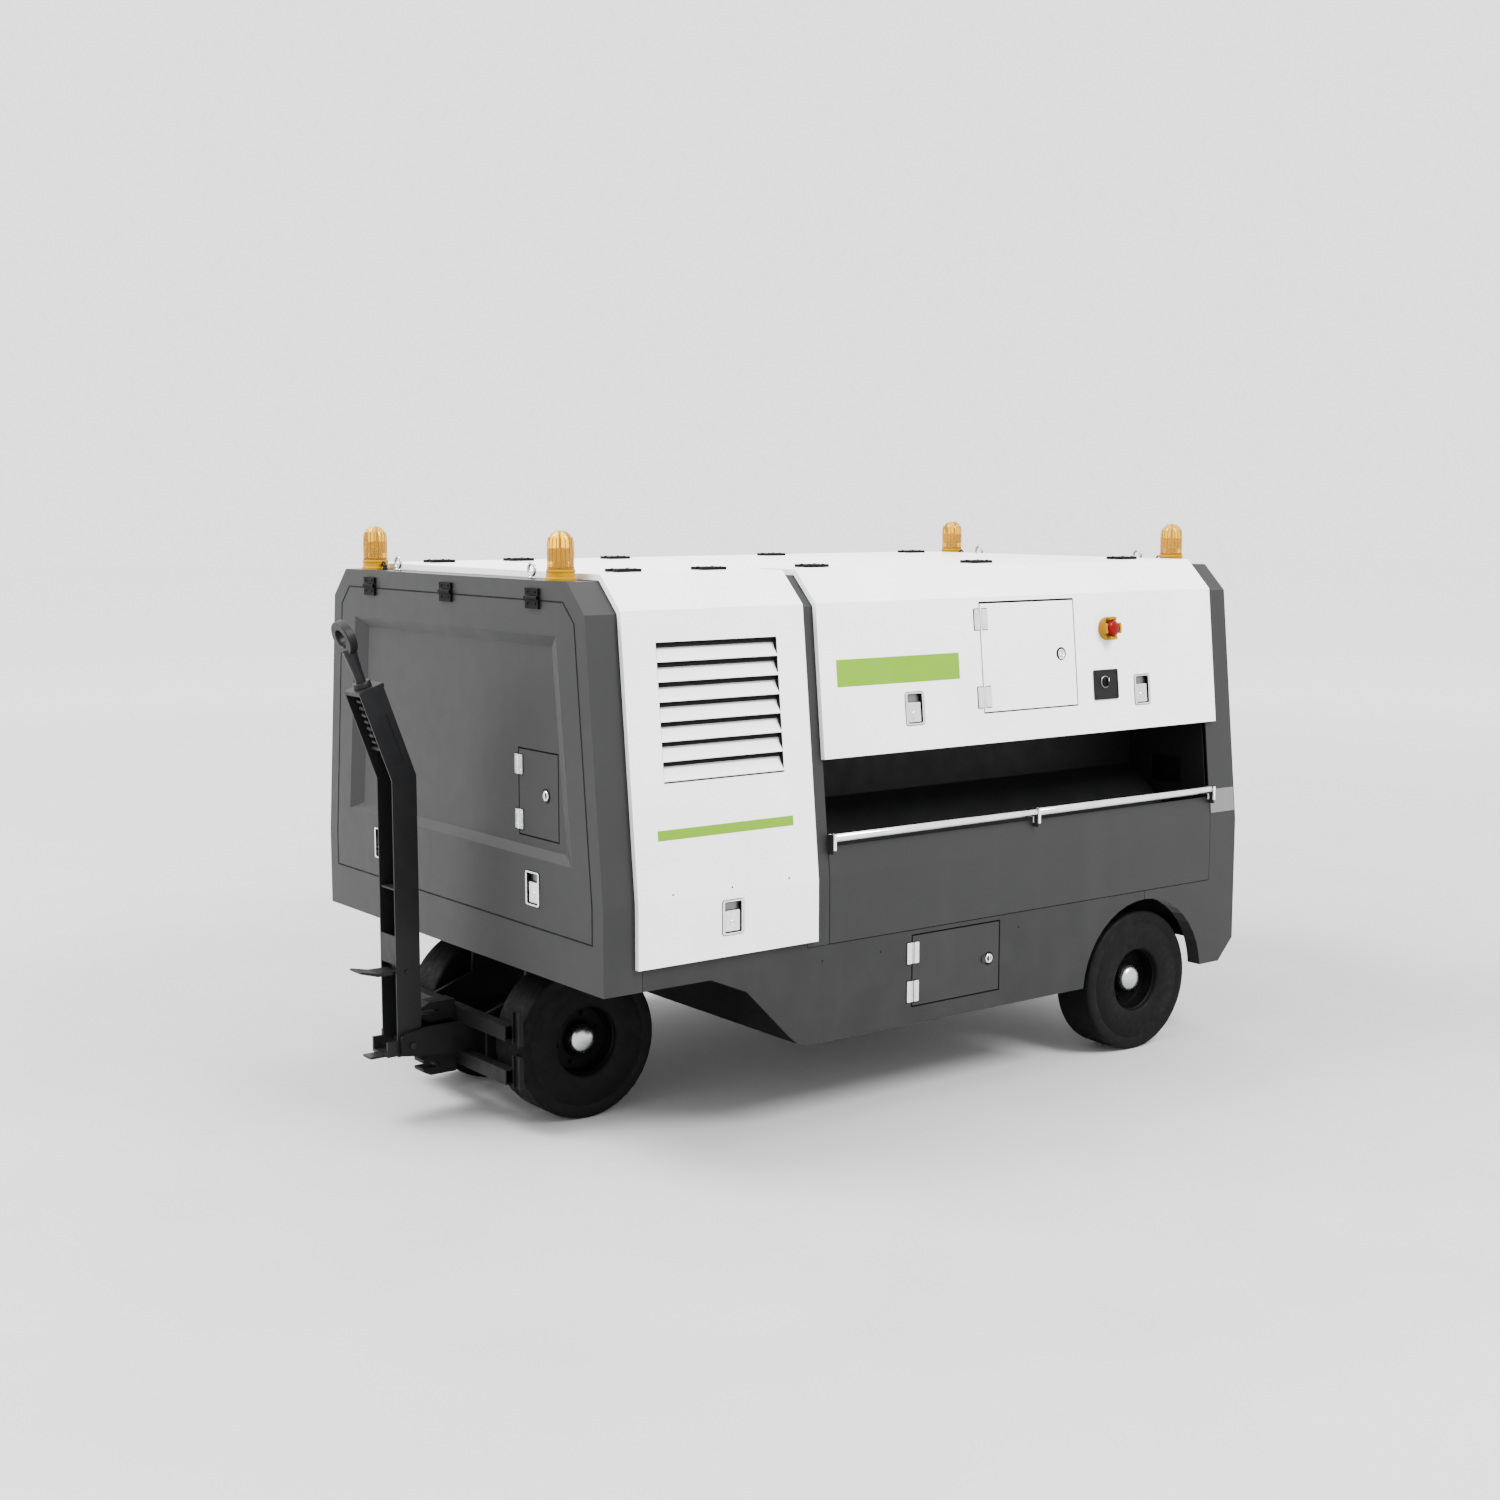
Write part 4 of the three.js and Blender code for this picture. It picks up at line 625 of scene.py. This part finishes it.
def latch_paddle(name, node, at):
    """Paddle that pivots at its lower edge, with a key cylinder and a rolled top lip."""
    plate = Shape().prism(rounded(61, 70, 4, centre=(0, -14)), -5.5, -3.0)
    plate.tube([(-29, 20.5, -5.2), (29, 20.5, -5.2)], radius=2.2)
    plate.tube([(-28, -45.5, -6), (28, -45.5, -6)], radius=3.4, n=12)
    plate.lathe(KEY_CYLINDER, (0, -22, 0), n=28)
    plate.box((-1.0, 1.0), (-27, -17), (-1.5, -0.9))
    obj = plate.piece(name, CHROME, node, "chrome_latch", at, bevel=0.4)
    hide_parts(node)


def build_latches():
    for label, side in SIDES.items():
        for spot, (x, z) in LATCH_SPOTS.items():
            door = f"{label}_front_door" if spot == "front_door" else f"{label}_main_door"
            at = side_face(x, z, side)
            latch_dish(f"latch_dish_{label}_{spot}", door, at)
            latch_paddle(f"latch_paddle_{label}_{spot}", f"latch_{label}_{spot}", at)
    for label, side in SIDES.items():
        at = nose_face(side * NOSE_LATCH_Y, NOSE_LATCH_Z)
        latch_dish(f"latch_dish_nose_{label}", "nose_door", at)
        latch_paddle(f"latch_paddle_nose_{label}", f"latch_nose_{label}", at)


def cam_lock(name, body, at):
    """Quarter-turn lock: chrome escutcheon with a wing handle on a black gasket."""
    gasket = Shape().lathe([(0, 0.2), (25, 0.2), (25, 1.2), (12, 1.8), (12, 3.2), (0, 3.2)], n=36)
    gasket.piece(name + "_gasket", SEAL_AND_SHADOW, body, "knob_black", at)
    escutcheon = [(11, 1.5), (18, 1.5), (18, 3.4), (16.4, 5), (12.4, 5.4), (11, 4.6), (11, 1.5)]
    lock = Shape().lathe(escutcheon, n=36).prism(rounded(7, 27, 3), 3, 8)
    lock.piece(name, CHROME, body, "chrome_latch", at, bevel=0.4)


# ------------------------------------------------------------------ hatches
LEAF_START = 5.6                               # leaves start this far from their pin line
LEAF_THICK, SHIM_THICK, KNUCKLE_GAP = 3.0, 0.6, 0.4


def leaf_hinge(name, fixed_body, moving_body, at, width, height, pin=2.8, lift=0.0):
    """Surface hinge on its pin line: fixed leaf on -x, moving leaf on +x, each on a black shim."""
    end = width / 2
    face = SHIM_THICK + LEAF_THICK
    barrel = height / 3 - 2 * KNUCKLE_GAP
    halves = (("fixed", fixed_body, -1, (0, 2)), ("moving", moving_body, 1, (1,)))
    for label, body, side, knuckles in halves:
        middle = side * (LEAF_START + end) / 2
        leaf = Shape().prism(rounded(end - LEAF_START, height, 3, centre=(middle, 0)), SHIM_THICK, face)
        for row in (-0.3, 0.3):
            leaf.lathe(screw_head(4, 3.2, 0, 1.4, 1.8), (middle, row * height, face), n=12)
        for k in knuckles:
            low = -height / 2 + k * height / 3 + KNUCKLE_GAP
            leaf.lathe([(0, low), (pin, low), (pin, low + barrel), (0, low + barrel)], (0, 0, lift), "y", 18)
        leaf.piece(f"{name}_{label}", HINGE_STEEL, body, "bright_steel", at, bevel=0.3)
        outline = rounded(end - LEAF_START + 3, height + 6, 4, centre=(middle + side * 1.5, 0))
        Shape().prism(outline, 0.1, SHIM_THICK).piece(f"{name}_{label}_shim", SEAL_AND_SHADOW, body, "knob_black", at)


def gap_seal_and_shadow(name, body, at, width, height, depth):
    """Black compression seal in the joint around a hatch, behind its leaf, which also paints the shade in
    the joint.
    """
    outer, inner = (rounded(width + grow, height + grow, 4) for grow in (28, -12))
    Shape().ring(outer, inner, -depth - 6, -depth).piece(name, SEAL_AND_SHADOW, body, "knob_black", at)


def build_control_hatch():
    for k, z in enumerate((1764, 1478)):
        at = side_face(1703, z)
        leaf_hinge(f"control_hinge_{k}", "near_main_door", "control_hatch", at, width=66, height=76)
    cam_lock("control_lock", "control_hatch", side_face(2113, 1620))
    at = side_face(1945.5, 1623)
    gap_seal_and_shadow("control_seal", "near_main_door", at, width=485, height=400, depth=5)


def build_lower_hatch():
    for k, z in enumerate((572, 430)):
        at = side_face(1329, z, proud=0.0)
        leaf_hinge(f"lower_hinge_{k}", "body", "lower_hatch", at, width=56, height=78, lift=0.5)
    cam_lock("lower_lock", "lower_hatch", side_face(1707, 500, proud=0.0))
    at = side_face(1544, 505, proud=0.0)
    gap_seal_and_shadow("lower_seal", "body", at, width=430, height=258, depth=9)


NOSE_HATCH_DEPTH = 25                          # nose hatch's face, behind the front of the body
SOCKET_DEPTH = 47                              # back of the charging socket
CONTACTS = ((0, 30, 17), (-34, 30, 11), (34, 30, 11), (-24, -24, 22), (24, -24, 22))   # x, y, radius


def build_nose_hatch():
    """Hinges, lock and seal, and the charging socket behind the hatch."""
    for k, z in enumerate((1308, 1119)):
        at = nose_face(-445, z, NOSE_HATCH_DEPTH)
        leaf_hinge(f"nose_hatch_hinge_{k}", "nose_door", "nose_hatch", at,
                   width=50, height=68, pin=4.6, lift=4.5)
    cam_lock("nose_lock", "nose_hatch", nose_face(-620, 1217, NOSE_HATCH_DEPTH))
    at = nose_face(-570.5, 1215.5, NOSE_HATCH_DEPTH)
    gap_seal_and_shadow("nose_seal", "nose_door", at, width=251, height=291, depth=5)
    socket = Shape().ring(rounded(150, 190, 16), rounded(128, 168, 12), 0, 18)
    socket.prism(rounded(130, 170, 12), 0, 3)
    for dx, dy, r in CONTACTS:
        socket.lathe([(r, 3), (r + 3, 3), (r + 3, 15), (r, 15), (r, 3)], (dx, dy, 0), n=28)
    at = nose_face(-570, 1215, SOCKET_DEPTH)
    socket.piece("charge_socket", KNOB, "nose_door", "knob_black", at, bevel=0.6)


# ------------------------------------------------------------------ controls on the near main door
CUP_OUTER, CUP_BORE, CUP_RIM = 45.6, 34.4, 22
HOUSING_PROFILE = [
    (0, 0.4), (45, 0.4), (CUP_OUTER, 2), (CUP_OUTER, CUP_RIM), (CUP_BORE, CUP_RIM), (CUP_BORE, 14),
    (20.6, 14), (20.6, 8.4), (0, 8.4),
]
MUSHROOM_PROFILE = [
    (0, 16.5), (17, 16.5), (17, 24), (28, 27), (30, 32), (29.6, 38), (25, 43.5), (15, 46.4), (0, 47),
]
PRONG_START, PRONG_STEP, PRONG_STEPS = -28, 7, 9              # one prong's arc, in degrees


def build_stop_button():
    """Yellow cup with four guard prongs around a red mushroom."""
    at = side_face(2368, 1705)
    prongs = Shape()
    for k in range(4):
        arc = [math.radians(90 * k + PRONG_START + PRONG_STEP * step) for step in range(PRONG_STEPS)]
        outline = [(CUP_OUTER * math.cos(a), CUP_OUTER * math.sin(a)) for a in arc]
        outline += [(CUP_BORE * math.cos(a), CUP_BORE * math.sin(a)) for a in reversed(arc)]
        prongs.prism(outline, CUP_RIM - 0.1, 41)
    prongs.piece("stop_shroud", YELLOW, "near_main_door", "stop_yellow", at, bevel=1.6)
    cup = Shape().lathe(HOUSING_PROFILE, n=64).piece(
        "stop_housing", YELLOW, "near_main_door", "stop_yellow", at, sharp=35)
    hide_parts("e_stop_base")
    mushroom = Shape().lathe(MUSHROOM_PROFILE, n=56).piece(
        "stop_mushroom", RED, "e_stop_button", "stop_red", at, sharp=45)
    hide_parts("e_stop_button")


def build_selector():
    """Turn knob with a bezel and a white pointer on a screwed plate."""
    outline = rounded(134, 116, 6)
    plate = Shape().prism(outline, 0.4, 4.0).ring(outline, rounded(124, 106, 4), 3.6, 6.0)
    for sx, sy in CORNERS:
        plate.lathe(screw_head(4.2, 3.2, 4, 6, 6.4), (sx * 53, sy * 44, 0), n=12)
    plate.piece("switch_plate", KNOB, "near_main_door", "knob_black", side_face(2348, 1490), bevel=0.5)
    at = side_face(2343, 1500)
    bezel = [(19, 3.8), (24, 3.8), (24, 5.4), (22.5, 6.6), (20, 6.8), (19, 6), (19, 3.8)]
    Shape().lathe(bezel, n=44).piece("switch_bezel", CUP, "near_main_door", "bright_steel", at, sharp=35)
    knob = Shape().lathe([(0, 4.5), (17.5, 4.5), (17.5, 11), (16, 13), (0, 13)], n=40)
    knob.prism(rounded(11, 33, 4), 12.5, 25)
    obj = knob.piece("switch_knob", KNOB, "selector_knob", "knob_black", at, bevel=0.7)
    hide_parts("selector_knob")
    Shape().box((-1.2, 1.2), (2, 15), (24.4, 25.6)).piece(
        "switch_pointer", ROLLER, "selector_knob", "roller_white", at, bevel=0.2)


# ------------------------------------------------------------------ cable tray fittings
ROLLER_RADIUS, JOURNAL_RADIUS, HALF_GAP = 16, 9, 7


def build_tray():
    """Roller in two lengths on one spindle, its three pairs of brackets, and the plate behind its end."""
    low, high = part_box("roller_bar")
    end = (high.x - low.x) / MM / 2
    at = flat_frame(*((low + high) / 2))
    r, journal, gap = ROLLER_RADIUS, JOURNAL_RADIUS, HALF_GAP
    bar = Shape().lathe([
        (0, -end), (journal, -end), (journal, 3 - end), (r - 1, 3 - end), (r, 5 - end), (r, -gap - 2),
        (r - 1, -gap), (6, -gap), (6, gap), (r - 1, gap), (r, gap + 2), (r, end - 5), (r - 1, end - 3),
        (journal, end - 3), (journal, end), (0, end),
    ], (0, 0, 0), "x", 40)
    obj = bar.piece("roller_tube", POLISHED, "roller_bar", "roller_white", at, sharp=40)
    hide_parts("roller_bar")
    brackets = Shape()
    for x in (-end - 6, 0, end + 6):
        for y in (-19.4, 8):
            brackets.box((x - 4.6, x + 4.6), (y, y + 6), (-42, 12.6))
    brackets.piece("roller_brackets", ROLLER, "body", "roller_white", at, bevel=0.6)
    Shape().prism(rounded(144, 96, 4), 0.2, 1.8).piece(
        "marker_plate", MARKER, "body", "frame_grey", side_face(3022, 980, proud=0.0), bevel=0.4)


# ------------------------------------------------------------------ trim, screws, stripes and strips of painted shadow
DOOR_SCREWS = ((260, 916), (501, 914), (743, 917))
SKIRT_RIVETS = ((908, 601), (1176, 597), (1862, 599))


def screws(name, body, spots, radius):
    """Row of black screw heads as one piece."""
    head = [(0, 0.2), (radius, 0.2), (radius * 0.8, 1.8), (radius * 0.3, 2.4), (0, 2.4)]
    made = Shape()
    for at in spots:
        dot = Shape().lathe(head, n=16)
        bmesh.ops.transform(dot.bm, matrix=at, verts=dot.bm.verts)
        mesh = bpy.data.meshes.new("screw_part")
        dot.bm.to_mesh(mesh)
        made.bm.from_mesh(mesh)
        bpy.data.meshes.remove(mesh)
        dot.bm.free()
    made.piece(name, KNOB, body, "knob_black")


def stripe(name, body, x, z, length, height):
    """Flat green stripe on a near side door."""
    Shape().box((-length / 2, length / 2), (-height / 2, height / 2), (0.2, 0.7)).piece(
        name, GREEN, body, "door_white", side_face(x, z))


def build_trim():
    for label, side in SIDES.items():
        screws(f"door_screws_{label}", f"{label}_front_door",
               [side_face(x, z, side) for x, z in DOOR_SCREWS], radius=3.5)
        screws(f"skirt_rivets_{label}", "body",
               [side_face(x, z, side, proud=0.0) for x, z in SKIRT_RIVETS], radius=4.0)
    stripe("stripe_main", "near_main_door", 1295, 1600, length=580, height=96)
    stripe("stripe_front", "near_front_door", 495, 1112, length=562, height=34)


# window of the front doors, from its front to its rear edge and from its sill to its head
LOUVRE_X, LOUVRE_Z, LOUVRE_BLADES = (252, 750), (1285, 1740), 7


def build_louvre_shadow_strips():
    """Black strips of painted shadow along the head of every louvre blade, at the window's jambs and under
    it.
    """
    width, height = LOUVRE_X[1] - LOUVRE_X[0], LOUVRE_Z[1] - LOUVRE_Z[0]
    pitch, half = height / LOUVRE_BLADES, width / 2
    for label, side in SIDES.items():
        strips = Shape()
        at = side_face(sum(LOUVRE_X) / 2, LOUVRE_Z[0], side)
        for k in range(LOUVRE_BLADES):
            foot = k * pitch
            # painted shadow: a black strip behind each blade's head, where the blade above shades it
            strips.box((-half, half), (foot + pitch * 0.77, foot + pitch * 0.98), (-18, -14))
        # painted shadow: a black strip on the face under the sill
        strips.box((-half, half), (-5, 0), (0.1, 1.0))
        # painted shade: black liners on both jambs, seen between the blades
        for sx in (-1, 1):
            strips.box(sorted((sx * half, sx * (half - 2))), (2, height - 2), (-16, -1.5))
        strips.piece(f"louvre_shadow_strips_{label}", SEAL_AND_SHADOW, f"{label}_front_door", "knob_black", at)


FRONT_OUTLINE = [
    (-1003, 699), (1003, 699), (1003, 895), (909, 1835), (805, 1938), (-805, 1938), (-909, 1835),
    (-1003, 895),
]
FRONT_RIM = 66                                 # width of the front frame around the nose door


def moved_out(outline, distance):
    """Anticlockwise outline with each side moved outwards by distance and the corners mitred."""
    result = []
    for before, here, after in zip(outline[-1:] + outline[:-1], outline, outline[1:] + outline[:1]):
        first = (Vector(here) - Vector(before)).normalized()
        second = (Vector(after) - Vector(here)).normalized()
        normals = Vector((first.y, -first.x)), Vector((second.y, -second.x))
        shift = (normals[0] + normals[1]) * distance / (1 + normals[0].dot(normals[1]))
        result.append((here[0] + shift.x, here[1] + shift.y))
    return result


def build_nose_seal_and_shadow():
    """Black rubber lip on the front frame along the joint around the nose door, a dark band that paints the
    joint's shadow.
    """
    outer, inner = (moved_out(FRONT_OUTLINE, edge - FRONT_RIM) for edge in (2.5, -2.6))
    Shape().ring(outer, inner, 0.1, 0.9).piece("nose_seal_lip", SEAL_AND_SHADOW, "body", "knob_black", nose_face(0, 0))


# ------------------------------------------------------------------ towbar fittings
ARM_LEAN = math.radians(20.5)                  # the upper arm's lean forwards from the vertical
ARM_KINK_X, ARM_KINK_Z = -213, 1235
RING_CENTRE = 530                              # along the upper arm from the kink, in mm
RING_PROFILE = [
    (34.5, -15), (60, -15), (62, -12), (62, 12), (60, 15), (34.5, 15), (33, 12), (33, -12), (34.5, -15),
]
SHANK_PROFILES = (
    ([(0, 362), (18, 362), (18, 400), (21, 440), (24, 470), (24, 484), (0, 484)], 32),    # neck of the ring
    ([(0, 344.5), (32, 344.5), (32, 360), (30, 364), (0, 364)], 32),                      # collar
    ([(0, 90), (15.8, 90), (15.8, 350), (0, 350)], 28),                                   # rod
    ([(0, 78), (26, 78), (26, 96), (24, 98), (0, 98)], 6),                                # nut
)


def build_tow_eye():
    """Tow eye in line with the upper arm, from its ring down to the nut at the end of its rod."""
    arm = Vector((-math.sin(ARM_LEAN), 0, math.cos(ARM_LEAN)))
    normal = Vector((math.cos(ARM_LEAN), 0, math.sin(ARM_LEAN)))
    at = place(normal, Vector((0, 1, 0)), arm, Vector((along(ARM_KINK_X), 0, ARM_KINK_Z * MM)))
    eye = Shape().lathe(RING_PROFILE, (0, 0, RING_CENTRE), "x", 64)
    for profile, n in SHANK_PROFILES:
        eye.lathe(profile, n=n)
    obj = eye.piece("tow_ring", TOWBAR_BLACK, "tow_eye", "towbar_black", at, sharp=35, bevel=0.6)
    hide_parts("tow_eye")


# ------------------------------------------------------------------ camera, floor and light
CAMERA_AHEAD, CAMERA_ASIDE, CAMERA_UP = 3.4318, 6.3448, 2.2   # from the front face, the middle and the floor
CAMERA_YAW, CAMERA_DOWN = math.radians(53.02), math.radians(7.09)
FLOOR_SIZE, FLOOR_Z = 120, -0.0005
FLOOR_SHADE = (3.0, 16.0)                      # distances between which the floor goes from dark to pale


def build_camera():
    data = bpy.data.cameras.new("camera")
    data.sensor_width = 36.0
    data.lens = 48.19
    data.clip_end = 200.0
    cam = bpy.data.objects.new("camera", data)
    bpy.context.scene.collection.objects.link(cam)
    cam.location = (FRONT_X - CAMERA_AHEAD, -CAMERA_ASIDE, CAMERA_UP)
    level = math.cos(CAMERA_DOWN)
    ahead = Vector((level * math.cos(CAMERA_YAW), level * math.sin(CAMERA_YAW), -math.sin(CAMERA_DOWN)))
    cam.rotation_euler = ahead.to_track_quat("-Z", "Y").to_euler()
    bpy.context.scene.camera = cam


def build_floor():
    """Pale floor, darker near the machine so that its colour meets the background's."""
    look = Look("studio_floor")
    cloud = look.spread(look.noise(1.5, 2.0), 0.0, 1.0)
    near = look.mix(cloud, (0.40, 0.40, 0.40), (0.42, 0.42, 0.42))
    distance = look.nodes.new("ShaderNodeVectorMath")
    distance.operation = "LENGTH"
    look.links.new(look.coords, distance.inputs[0])
    away = look.spread(distance.outputs["Value"], 0.0, 1.0, *FLOOR_SHADE)
    look.drive("Base Color", look.mix(away, near, (0.99, 0.99, 0.99)))
    look.set("Roughness", 0.85)
    bpy.ops.mesh.primitive_plane_add(size=FLOOR_SIZE, location=(0, 0, FLOOR_Z))
    floor = bpy.context.object
    floor.name = "studio_floor"
    floor.data.materials.append(look.material)


def area_light(name, location, target, size, power):
    data = bpy.data.lights.new(name, "AREA")
    data.size = size
    data.energy = power
    obj = bpy.data.objects.new(name, data)
    bpy.context.scene.collection.objects.link(obj)
    obj.location = location
    obj.rotation_euler = (Vector(target) - Vector(location)).to_track_quat("-Z", "Y").to_euler()


def build_lights():
    world = bpy.data.worlds.new("studio")
    world.use_nodes = True
    background = world.node_tree.nodes["Background"]
    background.inputs["Color"].default_value = (1.0, 1.0, 1.0, 1.0)
    background.inputs["Strength"].default_value = 2.2
    bpy.context.scene.world = world
    area_light("front_key", (-5.0, 2.5, 8.5), (-0.8, 0, 1.0), size=4.0, power=1900)
    area_light("side_key", (2.0, -7.5, 8.0), (0, 0, 1.0), size=4.0, power=1900)
    area_light("top", (0.5, 0.0, 8.0), (0, 0, 1.0), size=5.0, power=250)
    area_light("back", (5.0, 8.0, 5.0), (0, 0, 1.0), size=6.0, power=150)


build_camera()
build_floor()
build_lights()
dress_cad()
build_wheels()
build_beacons()
build_lifting_eyes()
build_roof_hinges()
build_nose_hinges()
build_latches()
build_control_hatch()
build_lower_hatch()
build_nose_hatch()
build_stop_button()
build_selector()
build_tray()
build_trim()
build_louvre_shadow_strips()
build_nose_seal_and_shadow()
build_tow_eye()
